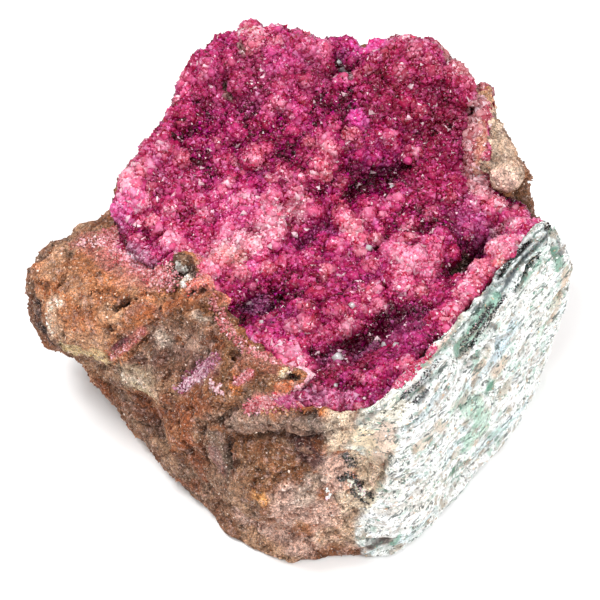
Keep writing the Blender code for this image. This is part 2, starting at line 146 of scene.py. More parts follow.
# Paint on the rock: colour, radius in mm, how strong, and the pixels that a stroke runs through.
ROCK_STROKES = [
    # sandy lobe
    (OCHRE, 6.4, 1.0, [(70, 300), (110, 290)]),
    (OCHRE, 3.6, 1.0, [(60, 270), (95, 340)]),
    (OCHRE_DARK, 2.6, 0.5, [(70, 262), (92, 276)]),
    (OCHRE, 1.8, 0.9, [(98, 292), (118, 296), (128, 314)]),
    ((224, 176, 140), 1.4, 0.7, [(122, 318), (142, 312), (160, 296)]),
    (TAN, 1.2, 0.6, [(104, 312), (128, 320), (140, 314)]),
    (TAN, 1.6, 0.6, [(50, 268), (70, 244), (92, 232)]),
    (TAN, 1.4, 0.4, [(70, 280), (84, 300)]),
    (PINK_STAIN, 1.9, 0.6, [(84, 238), (104, 246)]),
    (TAN, 1.2, 0.6, [(52, 306), (56, 330)]),
    (DARK_BROWN, 0.5, 0.9, [(115, 308), (125, 301)]),
    (OCHRE_DARK, 0.6, 0.9, [(75, 313)]),
    (UMBER, 0.6, 0.7, [(109, 327), (107, 333)]),
    (UMBER, 0.4, 0.7, [(98, 274)]),
    (TAN, 1.5, 0.7, [(56, 338), (74, 340), (100, 340)]),
    ((240, 232, 190), 1.3, 0.85, [(68, 348), (84, 354), (102, 358)]),
    (TAN, 1.4, 0.6, [(60, 352), (84, 366), (108, 370)]),
    (UMBER, 2.0, 0.9, [(26, 286), (33, 308), (44, 334)]),
    ((48, 38, 38), 1.1, 0.9, [(36, 304), (42, 328)]),
    (GREY_BROWN, 0.6, 0.7, [(28, 284), (30, 298)]),
    ((250, 226, 206), 0.75, 0.95, [(59, 303), (51, 299), (49, 312), (49, 325), (52, 338)]),
    # pink reaches over the rock beside the crust
    (PINK_STAIN, 2.3, 0.85, [(118, 242), (134, 258), (164, 272)]),
    (DUSTY_PINK, 2.0, 0.6, [(112, 256), (134, 274), (160, 284)]),
    (RASPBERRY, 1.6, 0.7, [(124, 236), (148, 244), (166, 254)]),
    (LILAC, 1.0, 0.35, [(132, 252), (142, 260)]),
    (SALMON, 1.0, 0.5, [(176, 292), (204, 284)]),
    ((255, 172, 164), 1.4, 0.95, [(204, 282), (222, 272), (240, 264)]),
    ((250, 160, 150), 1.0, 0.9, [(222, 296), (236, 304)]),
    ((238, 184, 146), 1.0, 0.8, [(156, 296), (176, 300)]),
    (OCHRE, 2.4, 0.8, [(150, 304), (176, 296)]),
    (RUST, 1.5, 0.8, [(178, 304), (214, 298)]),
    (OLIVE_BROWN, 1.3, 0.9, [
        (167, 270), (171, 260), (181, 257), (190, 261), (193, 270), (189, 280), (180, 284),
    ]),
    (OCHRE_DARK, 1.1, 0.9, [(180, 270)]),
    # Dark brown inside the vug's pit: painted shade in it.
    (DARK_BROWN, 0.7, 0.9, [(172, 266), (174, 276), (186, 277), (189, 268)]),
    ((214, 150, 110), 0.8, 0.7, [(160, 262), (170, 252), (188, 252), (200, 262)]),
    (SLATE_PALE, 0.5, 0.6, [(180, 267), (184, 270)]),
    (OFF_WHITE, 0.5, 0.9, [(183, 284), (189, 279)]),
    (DARK_BROWN, 0.5, 0.9, [(190, 293), (193, 290)]),
    (DARK_BROWN, 0.5, 0.8, [(202, 290), (206, 287)]),
    (PURPLE, 1.1, 0.8, [(140, 262), (152, 260)]),
    # grey-brown facet and what edges it
    (PLUM_GREY, 3.8, 1.0, [(152, 350), (190, 352)]),
    ((214, 188, 176), 1.8, 0.85, [(168, 336), (186, 332), (200, 340)]),
    (DARK_BROWN, 1.2, 0.5, [(148, 342), (156, 354)]),
    (OFF_WHITE, 0.8, 0.6, [(160, 334), (166, 342)]),
    (BROWN, 1.6, 0.8, [(176, 322), (206, 326)]),
    (OLIVE_BROWN, 1.0, 0.8, [(180, 314), (206, 312)]),
    (OFF_WHITE, 0.5, 0.5, [(196, 314), (206, 320)]),
    (PURPLE, 0.9, 0.5, [(132, 312), (158, 312)]),
    (ORANGE, 0.9, 0.6, [(130, 322), (150, 314)]),
    ((210, 132, 126), 0.7, 0.75, [(112, 356), (128, 346), (142, 333)]),
    (OCHRE, 0.5, 0.8, [(110, 362), (130, 354), (146, 340)]),
    (PURPLE, 0.35, 0.8, [(112, 350), (124, 342)]),
    (ORANGE, 0.4, 0.9, [(121, 365)]),
    ((206, 196, 176), 1.8, 0.8, [(120, 376), (144, 380), (152, 392)]),
    (OFF_WHITE, 0.9, 0.6, [(122, 378), (140, 386)]),
    (LICHEN, 0.8, 0.5, [(128, 386), (148, 394)]),
    (BROWN, 2.0, 0.7, [(176, 372), (166, 388)]),
    (OLIVE_BROWN, 2.4, 0.8, [(222, 366), (228, 384), (222, 400)]),
    ((196, 140, 160), 1.3, 0.6, [(184, 386), (198, 374), (212, 364)]),
    (PURPLE, 0.7, 0.4, [(186, 374), (200, 366), (212, 358)]),
    (ORANGE, 0.5, 0.8, [(178, 340)]),
    (RUST, 2.2, 0.75, [(150, 404), (198, 408)]),
    (RUST, 1.2, 0.7, [(204, 346), (216, 340)]),
    (ORANGE, 0.8, 0.7, [(236, 364), (237, 388)]),
    (UMBER, 0.9, 0.6, [(128, 404), (146, 416), (160, 432)]),
    # left foot
    (GREY_BROWN, 2.6, 0.8, [(205, 436), (222, 470)]),
    (LILAC, 1.0, 0.35, [(214, 452), (220, 468)]),
    (RUST, 1.0, 0.75, [(186, 420), (190, 450), (204, 478)]),
    # Umber along the groove at the boulder's edge: painted shade in the groove.
    (UMBER, 0.7, 0.8, [(230, 442), (227, 456), (232, 472)]),
    # wedge and ledge below the crust
    ((170, 110, 100), 2.2, 0.8, [(246, 362), (270, 366)]),
    (OLIVE_BROWN, 1.4, 0.8, [(250, 376), (272, 380)]),
    ((214, 136, 104), 0.9, 0.9, [(282, 388), (304, 384)]),
    (OCHRE, 0.8, 0.9, [(286, 371), (304, 376)]),
    (CREAM, 0.45, 0.95, [(282, 375), (287, 370)]),
    (BLACK, 0.3, 0.95, [(288, 375), (302, 380)]),
    ((255, 190, 208), 0.8, 0.95, [(298, 363), (308, 366), (314, 377), (311, 387), (298, 393)]),
    ((236, 156, 158), 1.1, 0.8, [(312, 388), (298, 393), (280, 398), (258, 403)]),
    (PINK_STAIN, 0.7, 0.6, [(238, 380), (248, 374)]),
    ((190, 158, 146), 1.8, 0.7, [(240, 424), (290, 426), (326, 432)]),
    (BROWN, 1.0, 0.7, [(300, 418), (326, 422), (340, 432)]),
    (RUST, 0.8, 0.7, [(262, 411), (300, 408), (340, 410)]),
    (UMBER, 0.8, 0.8, [(300, 416), (334, 418), (366, 412)]),
    ((62, 46, 42), 1.1, 0.9, [(316, 417), (330, 421), (340, 428)]),
    # Dark along the groove above the boulder: painted shade in it.
    ((74, 50, 48), 1.0, 0.9, [(312, 435), (330, 440)]),
    (GREY_BROWN, 1.0, 0.7, [(378, 418), (394, 410)]),
    (ORANGE, 0.45, 0.9, [(272, 414), (278, 417)]),
    (ORANGE, 0.5, 0.9, [(322, 413), (328, 415)]),
    # Umber along the groove above the boulder: painted shade in it.
    (UMBER, 0.7, 0.7, [(240, 440), (280, 436), (318, 438)]),
    # rounded boulder
    (OLIVE_BROWN, 4.2, 0.9, [(258, 466), (288, 472)]),
    ((244, 190, 126), 0.8, 1.0, [(257, 498), (263, 501)]),
    (TAN, 1.3, 0.4, [(240, 470), (238, 500)]),
    # lower right, up to the pale face
    (MAUVE_PALE, 2.8, 0.85, [(326, 514), (350, 534)]),
    (MAUVE_PALE, 2.2, 0.8, [(332, 462), (342, 486)]),
    (PLUM_GREY, 1.6, 0.7, [(300, 488), (304, 512)]),
    ((84, 50, 54), 1.7, 0.9, [(302, 448), (310, 458)]),
    (MAUVE_PALE, 2.2, 0.6, [(250, 520), (280, 536), (300, 550)]),
    (MAUVE_PALE, 1.7, 0.7, [(284, 496), (288, 520)]),
    ((244, 226, 198), 1.7, 0.95, [(366, 452), (372, 474)]),
    ((255, 240, 224), 1.2, 0.8, [(326, 536), (350, 540)]),
    (TAN, 1.4, 0.9, [(250, 536), (286, 560)]),
    (OFF_WHITE, 1.3, 0.35, [(304, 498), (318, 480)]),
    (PALE_CREAM, 2.0, 0.95, [(340, 444), (374, 442)]),
    (PALE_CREAM, 2.0, 0.95, [(366, 458), (376, 480), (368, 506)]),
    (PALE_CREAM, 1.6, 0.9, [(350, 500), (360, 520), (352, 540)]),
    (PALE_CREAM, 1.4, 0.8, [(336, 422), (354, 412)]),
    (UMBER, 1.0, 0.6, [(366, 418), (392, 402)]),
    (SLATE, 0.45, 0.8, [(343, 453), (350, 463)]),
    (SLATE, 0.4, 0.8, [(341, 478), (350, 476), (358, 486), (370, 494)]),
    (SLATE, 0.3, 0.8, [(354, 492), (366, 502)]),
    (TAN, 2.0, 0.6, [(340, 540), (352, 524)]),
    (DARK_BROWN, 0.6, 0.85, [(171, 262), (182, 257), (193, 263), (192, 275)]),
    ((142, 134, 128), 1.2, 0.55, [(212, 418), (250, 424), (300, 424), (330, 428)]),
    ((142, 134, 128), 1.3, 0.45, [(214, 438), (222, 466)]),
    # tan knob at the right
    ((238, 226, 212), 1.8, 0.95, [(492, 108), (496, 140), (494, 174)]),
    ((217, 203, 190), 2.6, 0.95, [(506, 156), (514, 174)]),
    (MAUVE_PALE, 1.2, 0.8, [(500, 176), (508, 182)]),
    (OCHRE_DARK, 0.7, 0.8, [(498, 192), (514, 192), (525, 182), (528, 174)]),
    (ORANGE, 0.8, 0.7, [(489, 92), (493, 100)]),
    (TAN, 1.6, 0.8, [(470, 70), (486, 92)]),
]

# Paint on the pale face, above its own white.
PALE_STROKES = [
    ((206, 212, 212), 1.3, 0.8, [(541, 235), (522, 254), (508, 274), (500, 288)]),
    (SLATE, 0.32, 0.95, [(551, 228), (541, 240), (520, 262), (506, 282), (496, 296)]),
    (BLACK, 0.28, 0.95, [(546, 227), (528, 244), (512, 258), (500, 276)]),
    ((206, 216, 214), 0.8, 0.5, [(494, 294), (470, 322), (450, 346), (438, 358)]),
    (SLATE, 0.3, 0.8, [(490, 290), (474, 312)]),
    ((255, 255, 253), 1.6, 0.8, [(484, 352), (466, 364), (448, 376)]),
    (MALACHITE, 0.8, 0.75, [(494, 298), (479, 318), (466, 336), (458, 350)]),
    (SLATE_PALE, 0.4, 0.5, [(438, 358), (420, 380), (404, 398)]),
    ((226, 178, 150), 0.35, 0.8, [(550, 222), (524, 240), (498, 264)]),
    ((222, 170, 150), 0.3, 0.6, [(484, 290), (456, 328), (424, 366)]),
    (BLACK, 0.25, 0.85, [(499, 298), (484, 322), (472, 338), (462, 354)]),
    (BLACK, 0.22, 0.7, [(488, 304), (474, 324), (462, 340)]),
    (BLACK, 0.32, 0.95, [(538, 254), (526, 268), (515, 291)]),
    (MALACHITE, 0.55, 0.9, [(538, 262), (528, 274), (519, 292)]),
    (SLATE, 0.5, 0.8, [(556, 242), (560, 252)]),
    (MALACHITE, 0.9, 0.8, [(554, 254), (556, 266)]),
    (TAN, 0.9, 0.7, [(563, 272), (561, 290)]),
    (TAN, 0.8, 0.6, [(556, 306), (552, 316)]),
    (PALE_BLUE, 1.4, 0.7, [(516, 318), (506, 334), (498, 350)]),
    (SLATE, 0.4, 0.8, [(489, 324), (494, 328)]),
    (MALACHITE, 0.75, 0.9, [(490, 382), (488, 388)]),
    (MALACHITE, 0.5, 0.6, [(478, 352), (470, 366)]),
    (TAN, 0.9, 0.7, [(502, 362), (494, 372)]),
    (TAN, 0.9, 0.7, [(480, 364), (474, 372)]),
    (MINT, 1.3, 0.9, [(476, 414), (470, 432)]),
    (MALACHITE, 0.5, 0.7, [(476, 418), (472, 424)]),
    (TAN, 0.8, 0.7, [(474, 442), (478, 434)]),
    (TAN, 0.9, 0.6, [(416, 446), (426, 440)]),
    (TAN, 0.8, 0.6, [(436, 424), (442, 428)]),
    (SLATE_PALE, 0.5, 0.4, [(396, 402), (416, 390), (430, 372)]),
    (SLATE, 0.4, 0.8, [(416, 402), (424, 393)]),
    (SLATE, 0.35, 0.8, [(404, 396), (392, 404)]),
    (SLATE, 0.35, 0.9, [(390, 450), (384, 466), (381, 478)]),
    (MALACHITE, 0.35, 0.8, [(460, 462), (452, 472), (440, 482)]),
    (MALACHITE, 0.4, 0.8, [(398, 532), (392, 544)]),
    (MINT, 0.9, 0.6, [(540, 330), (530, 350)]),
    (MINT, 1.4, 0.8, [(470, 404), (484, 424), (470, 440)]),
    ((190, 178, 160), 0.8, 0.7, [(464, 396), (452, 404)]),
    ((190, 178, 160), 0.8, 0.7, [(486, 352), (478, 362)]),
    ((190, 178, 160), 0.7, 0.7, [(498, 396), (508, 382)]),
    (PALE_CREAM, 2.2, 0.8, [(346, 436), (372, 426), (392, 412)]),
    (SLATE, 0.3, 0.7, [(356, 424), (372, 414), (388, 404)]),
    (SLATE, 0.25, 0.7, [(366, 432), (384, 418)]),
    ((255, 250, 244), 3.0, 0.9, [(384, 492), (400, 516), (424, 496)]),
    ((252, 252, 248), 2.4, 0.7, [(520, 300), (540, 310), (536, 280)]),
    ((252, 252, 248), 1.4, 0.7, [(402, 440), (396, 470)]),
    ((240, 217, 186), 1.7, 0.95, [(362, 434), (378, 446), (376, 462), (368, 478)]),
    ((232, 204, 188), 1.0, 0.8, [(384, 426), (384, 446), (378, 470)]),
    ((246, 226, 194), 1.2, 0.9, [(366, 484), (362, 500)]),
    (MINT, 0.9, 0.6, [(456, 400), (450, 412)]),
    (DARK_BROWN, 0.6, 0.9, [(370, 545), (386, 541)]),
]

# Places where the pale skin reaches over the brown rock: pixels along them and the radius in mm.
PALE_PATCHES = [([(388, 486), (384, 512), (388, 534)], 1.2), ([(376, 504), (367, 522), (364, 542)], 1.1)]

# Pits in the rock: pixels along it, radius and depth in mm.
PITS = [
    ([(115, 308), (125, 301)], 0.5, 1.4),
    ([(75, 312), (76, 310)], 0.5, 0.5),
    ([(108, 328), (109, 330)], 0.42, 0.5),
    ([(96, 274), (97, 275)], 0.4, 0.45),
    ([(48, 268)], 0.4, 0.4),
    ([(138, 260), (151, 259)], 1.0, 1.0),
    ([(180, 270)], 1.25, 1.6),
    ([(190, 293), (194, 290)], 0.45, 0.8),
    ([(202, 290), (206, 287)], 0.45, 0.8),
    ([(231, 440), (226, 450), (227, 464)], 0.5, 0.9),
    ([(240, 441), (270, 436), (300, 437), (322, 440)], 0.55, 0.75),
    ([(287, 375), (299, 379)], 0.2, 0.8),
    ([(178, 340)], 0.35, 0.4),
    ([(204, 420), (200, 440), (206, 462)], 0.45, 0.6),
    ([(120, 372), (110, 366), (96, 368)], 0.4, 0.5),
    ([(148, 338), (130, 352), (110, 364)], 0.35, 0.5),
    ([(212, 316), (214, 340), (206, 352)], 0.4, 0.6),
    ([(236, 408), (220, 420), (206, 424)], 0.4, 0.6),
    ([(546, 227), (528, 244), (512, 258), (500, 276)], 0.3, 0.5),
    ([(538, 254), (526, 268), (515, 291)], 0.3, 0.6),
    ([(499, 298), (484, 322), (472, 338), (462, 354)], 0.3, 0.5),
    ([(390, 450), (384, 466), (381, 478), (366, 504)], 0.35, 0.4),
    ([(368, 540), (386, 538)], 0.5, 0.8),
    ([(526, 188), (531, 190), (531, 202)], 1.8, 2.2),
]
# Ridges on the rock: pixels along the crest, radius and height in mm.
RIDGES = [
    ([
        (167, 270), (171, 260), (181, 257), (190, 261), (193, 270), (189, 280), (180, 284), (171, 280),
        (167, 270),
    ], 0.45, 0.3),
    ([(180, 265), (184, 268)], 0.55, 0.9),
    ([(185, 287), (190, 279)], 0.45, 0.4),
    ([(205, 414), (240, 418), (290, 422), (326, 426)], 0.9, 0.4),
    ([(112, 360), (128, 350), (144, 338)], 0.5, 0.4),
    ([(168, 308), (186, 302), (206, 300)], 0.8, 0.6),
    ([(324, 413)], 0.5, 0.5),
    ([(260, 500)], 0.7, 0.35),
    ([(334, 476), (352, 486), (366, 500)], 0.5, 0.35),
    ([(496, 298), (480, 320), (464, 342)], 0.5, 0.35),
]

# Small crystals strewn in strips over the rock: colour, the strip's radius in mm, how many, their edge in mm,
# and pixels along the strip.
DRIFTS = [
    ((196, 74, 110), 0.6, 380, 0.42, [(434, 348), (424, 359), (413, 369), (400, 383), (385, 395)]),
    ((206, 116, 124), 0.8, 300, 0.36, [(164, 254), (180, 248), (198, 252), (205, 266), (200, 280)]),
    ((206, 120, 124), 2.0, 1100, 0.34, [(112, 236), (120, 248), (140, 262), (164, 278)]),
    ((228, 150, 160), 1.6, 300, 0.36, [(116, 240), (140, 258), (166, 272)]),
    (RASPBERRY, 1.8, 900, 0.5, [(124, 234), (146, 242), (168, 252)]),
    ((204, 150, 172), 1.0, 130, 0.5, [(132, 250), (142, 260)]),
    (PALE_PINK, 0.7, 420, 0.36, [(116, 244), (124, 258), (140, 268), (158, 266)]),
    (SALMON, 1.0, 400, 0.34, [(190, 286), (210, 280), (238, 266)]),
    ((240, 160, 160), 0.8, 300, 0.36, [(212, 278), (228, 270), (248, 262)]),
    ((196, 112, 114), 0.8, 340, 0.34, [(214, 300), (224, 322), (234, 338), (248, 350)]),
    ((204, 122, 124), 0.7, 240, 0.34, [(252, 352), (276, 360), (292, 366)]),
    ((250, 188, 202), 0.8, 620, 0.34, [(299, 364), (308, 368), (314, 377), (311, 387), (298, 393)]),
    ((232, 146, 152), 0.9, 600, 0.34, [(312, 387), (298, 393), (280, 398), (254, 404)]),
    ((196, 90, 132), 0.8, 260, 0.6, [(284, 400), (304, 402), (334, 403)]),
    ((196, 104, 112), 0.8, 400, 0.4, [(250, 408), (292, 404), (334, 406)]),
    ((196, 110, 116), 0.7, 120, 0.36, [(238, 380), (248, 374)]),
    ((166, 104, 126), 1.2, 260, 0.42, [(184, 384), (200, 370), (214, 361)]),
    ((214, 172, 184), 1.1, 110, 0.45, [(186, 388), (204, 374)]),
    ((222, 176, 182), 0.6, 50, 0.45, [(211, 384), (220, 390)]),
    ((190, 120, 118), 0.5, 100, 0.3, [(113, 356), (128, 346), (142, 334)]),
    ((232, 176, 180), 0.8, 120, 0.35, [(82, 242), (102, 242)]),
    ((170, 160, 152), 0.6, 70, 0.45, [(178, 267), (184, 271)]),
    ((232, 222, 216), 0.4, 30, 0.4, [(183, 284), (188, 280)]),
    ((236, 222, 206), 0.5, 40, 0.35, [(59, 303), (51, 299), (49, 325), (52, 336)]),
    ((232, 206, 176), 0.45, 40, 0.4, [(282, 376), (287, 370)]),
    (FROST, 0.35, 10, 0.5, [(327, 490), (328, 496)]),
    ((90, 90, 86), 0.6, 90, 0.3, [(344, 453), (352, 464)]),
    ((64, 68, 64), 0.6, 160, 0.3, [(342, 478), (350, 476), (360, 486), (371, 496)]),
    ((70, 74, 70), 0.4, 70, 0.3, [(352, 490), (366, 502)]),
    ((236, 228, 212), 0.5, 70, 0.34, [(350, 483), (364, 494)]),
    (OCHRE, 0.7, 60, 0.4, [(264, 412), (300, 408), (340, 412)]),
    ((30, 32, 32), 0.35, 260, 0.22, [(548, 226), (528, 244), (512, 258), (500, 276)]),
    ((40, 60, 54), 0.35, 150, 0.22, [(538, 254), (526, 268), (515, 291)]),
    ((36, 44, 42), 0.35, 220, 0.22, [(504, 296), (488, 322), (476, 338), (466, 352)]),
    ((60, 66, 66), 0.35, 120, 0.22, [(436, 362), (418, 384), (402, 398)]),
    ((70, 74, 74), 0.35, 80, 0.22, [(414, 402), (428, 390)]),
    ((44, 48, 48), 0.35, 150, 0.22, [(492, 306), (478, 324), (462, 344)]),
]

# Crust colours, from the deepest hollow to the highest crest, as painted shade in the hollows and painted
# light on the crests.
CRUST_SCALE = [
    (0.00, (64, 0, 16)), (0.18, (96, 0, 32)), (0.40, (138, 3, 56)), (0.60, (177, 27, 82)),
    (0.80, (214, 76, 122)), (1.00, (250, 143, 174)),
]
CRIMSON = (146, 10, 50)
HOT_PINK = (244, 60, 160)
MAGENTA = (190, 26, 116)
VIOLET = (132, 40, 96)
PEACH = (246, 156, 146)
# The pale pink of painted glints on the crystals.
GLINT = (255, 206, 218)
MOSS = (84, 70, 54)

# Paint on the crust, as on the rock.
CRUST_STROKES = [
    (RASPBERRY, 3.6, 0.55, [(215, 80), (300, 60)]),
    (CRIMSON, 5.0, 0.55, [(400, 80), (460, 110), (450, 170)]),
    (RASPBERRY, 2.6, 0.5, [(150, 150), (180, 190)]),
    (CRIMSON, 2.0, 0.5, [(330, 366), (390, 345)]),
    (HOT_PINK, 1.3, 0.75, [(356, 50), (378, 42)]),
    ((236, 84, 160), 1.3, 0.6, [(116, 208), (134, 198)]),
    ((236, 84, 160), 1.1, 0.5, [(108, 222), (124, 222)]),
    (HOT_PINK, 0.9, 0.75, [(357, 118), (360, 122)]),
    ((240, 100, 160), 1.3, 0.4, [(386, 248), (406, 250), (424, 264)]),
    ((224, 60, 136), 1.4, 0.5, [(272, 62), (290, 56)]),
    ((180, 50, 116), 1.8, 0.5, [(466, 222), (484, 234)]),
    (VIOLET, 1.0, 0.3, [(466, 198), (484, 222)]),
    (VIOLET, 1.8, 0.3, [(330, 364), (372, 352), (410, 326)]),
    (VIOLET, 1.2, 0.5, [(244, 314), (262, 304)]),
    ((204, 96, 146), 1.2, 0.5, [(300, 396), (346, 402)]),
    (PEACH, 0.5, 0.8, [(544, 222), (516, 246), (500, 262)]),
    (PEACH, 1.4, 0.4, [(222, 256), (236, 256)]),
    (OCHRE_DARK, 0.8, 0.8, [(236, 357)]),
    (MOSS, 0.7, 0.7, [(226, 86), (228, 98)]),
    (MOSS, 0.5, 0.7, [(240, 46), (244, 52)]),
    (MOSS, 0.8, 0.7, [(452, 274), (462, 264)]),
    (MOSS, 0.6, 0.5, [(494, 234), (512, 220)]),
    (SLATE_PALE, 0.5, 0.3, [(344, 72), (350, 78)]),
    (LILAC, 1.0, 0.5, [(132, 250), (148, 262)]),
    ((190, 112, 114), 1.3, 0.7, [(384, 30), (412, 36), (440, 50), (464, 68), (482, 90)]),
    (DUSTY_PINK, 1.2, 0.65, [(476, 100), (474, 130), (470, 166), (480, 184)]),
    (OCHRE, 0.6, 0.6, [(482, 124), (480, 150), (478, 172)]),
    (DUSTY_PINK, 0.8, 0.6, [(168, 104), (180, 80), (204, 50), (226, 28), (244, 30)]),
    (OCHRE_DARK, 0.5, 0.6, [(252, 30), (264, 28)]),
    (OCHRE_DARK, 0.6, 0.5, [(404, 32), (414, 35)]),
]
# Places where pale crystals lie thick among the others, laid only where the crust is lit, so partly painted
# light:
# colour, radius in mm, strength, pixels.
CRUST_FROST = [
    (PALE_PINK, 0.9, 0.8, [(466, 297), (462, 306), (448, 318)]),
    (PALE_PINK, 0.6, 0.3, [(430, 352), (400, 384), (380, 396)]),
    ((255, 220, 222), 2.0, 0.55, [(222, 246), (268, 226), (292, 212)]),
    (PALE_PINK, 1.5, 0.7, [(352, 228), (364, 238)]),
    (PALE_PINK, 1.8, 0.4, [(270, 170), (300, 190)]),
    (PALE_PINK, 1.6, 0.3, [(400, 250), (430, 256)]),
    (PALE_PINK, 1.4, 0.4, [(120, 226), (150, 236), (180, 246)]),
    ((250, 206, 190), 1.3, 0.5, [(222, 252), (240, 256)]),
    (PALE_PINK, 1.2, 0.7, [(470, 184), (490, 192), (516, 206), (538, 214)]),
    (PALE_PINK, 0.7, 0.6, [(205, 36), (240, 34)]),
    ((255, 210, 206), 1.1, 0.35, [(272, 104), (286, 112)]),
]
# Clear rhombs in the crust: pixel, edge in mm.
CLEAR_RHOMBS = [
    ((338, 360), 0.85), ((387, 346), 0.55), ((397, 347), 0.5), ((369, 249), 0.6), ((338, 62), 0.5),
    ((351, 306), 0.5), ((262, 323), 0.4), ((393, 188), 0.4), ((334, 386), 0.4),
]
# Clefts and hollows in the crust: pixels along them, radius and depth in mm.
CRUST_PITS = [
    ([(242, 322), (262, 312), (282, 298)], 0.8, 0.7),
    ([(298, 250), (314, 238)], 0.6, 0.6),
    ([(452, 274), (470, 264), (486, 248)], 0.7, 0.8),
    ([(352, 192), (372, 176), (408, 168)], 0.8, 0.8),
    ([(322, 364), (350, 350), (384, 332), (410, 318)], 0.9, 0.2),
    ([(232, 26), (262, 24)], 1.5, 1.2),
    ([(195, 57), (194, 67)], 1.2, 1.2),
    ([(118, 176), (114, 198)], 1.3, 0.7),
    ([(225, 86), (240, 110)], 0.6, 0.6),
]
# Places where rock covers the crust, so that no crystals grow: pixels along them and the radius in mm.
CRUST_BARE = [
    ([(216, 300), (226, 326), (240, 346), (262, 358), (282, 364)], 1.1),
    ([(250, 370), (274, 374), (296, 378), (306, 380)], 1.3),
    ([(262, 388), (296, 388)], 1.1), ([(236, 357)], 1.0),
]
# Balls of crystals placed where the crust's outline swells: pixel, radius in mm, lift as a share of it.
CRUST_SWELLS = [
    ((304, 48), 1.4, 0.4), ((318, 52), 1.4, 0.4), ((332, 54), 1.4, 0.5), ((344, 53), 1.4, 0.5),
    ((455, 74), 1.4, 0.6), ((462, 85), 1.5, 0.6), ((464, 97), 1.4, 0.4),
    ((474, 148), 1.3, -0.1), ((477, 163), 1.4, -0.1), ((483, 177), 1.4, -0.1), ((476, 134), 1.2, -0.1),
    ((472, 74), 1.2, -0.1), ((479, 82), 1.2, -0.1), ((484, 92), 1.1, -0.2), ((484, 104), 1.1, -0.3),
    ((483, 117), 1.1, -0.3),
    ((482, 130), 1.0, -0.4), ((481, 143), 1.0, -0.4), ((481, 157), 1.0, -0.4), ((481, 169), 1.0, -0.4),
    ((129, 236), 1.2, -0.2), ((137, 244), 1.2, -0.2), ((145, 252), 1.2, -0.2), ((153, 259), 1.0, -0.2),
]
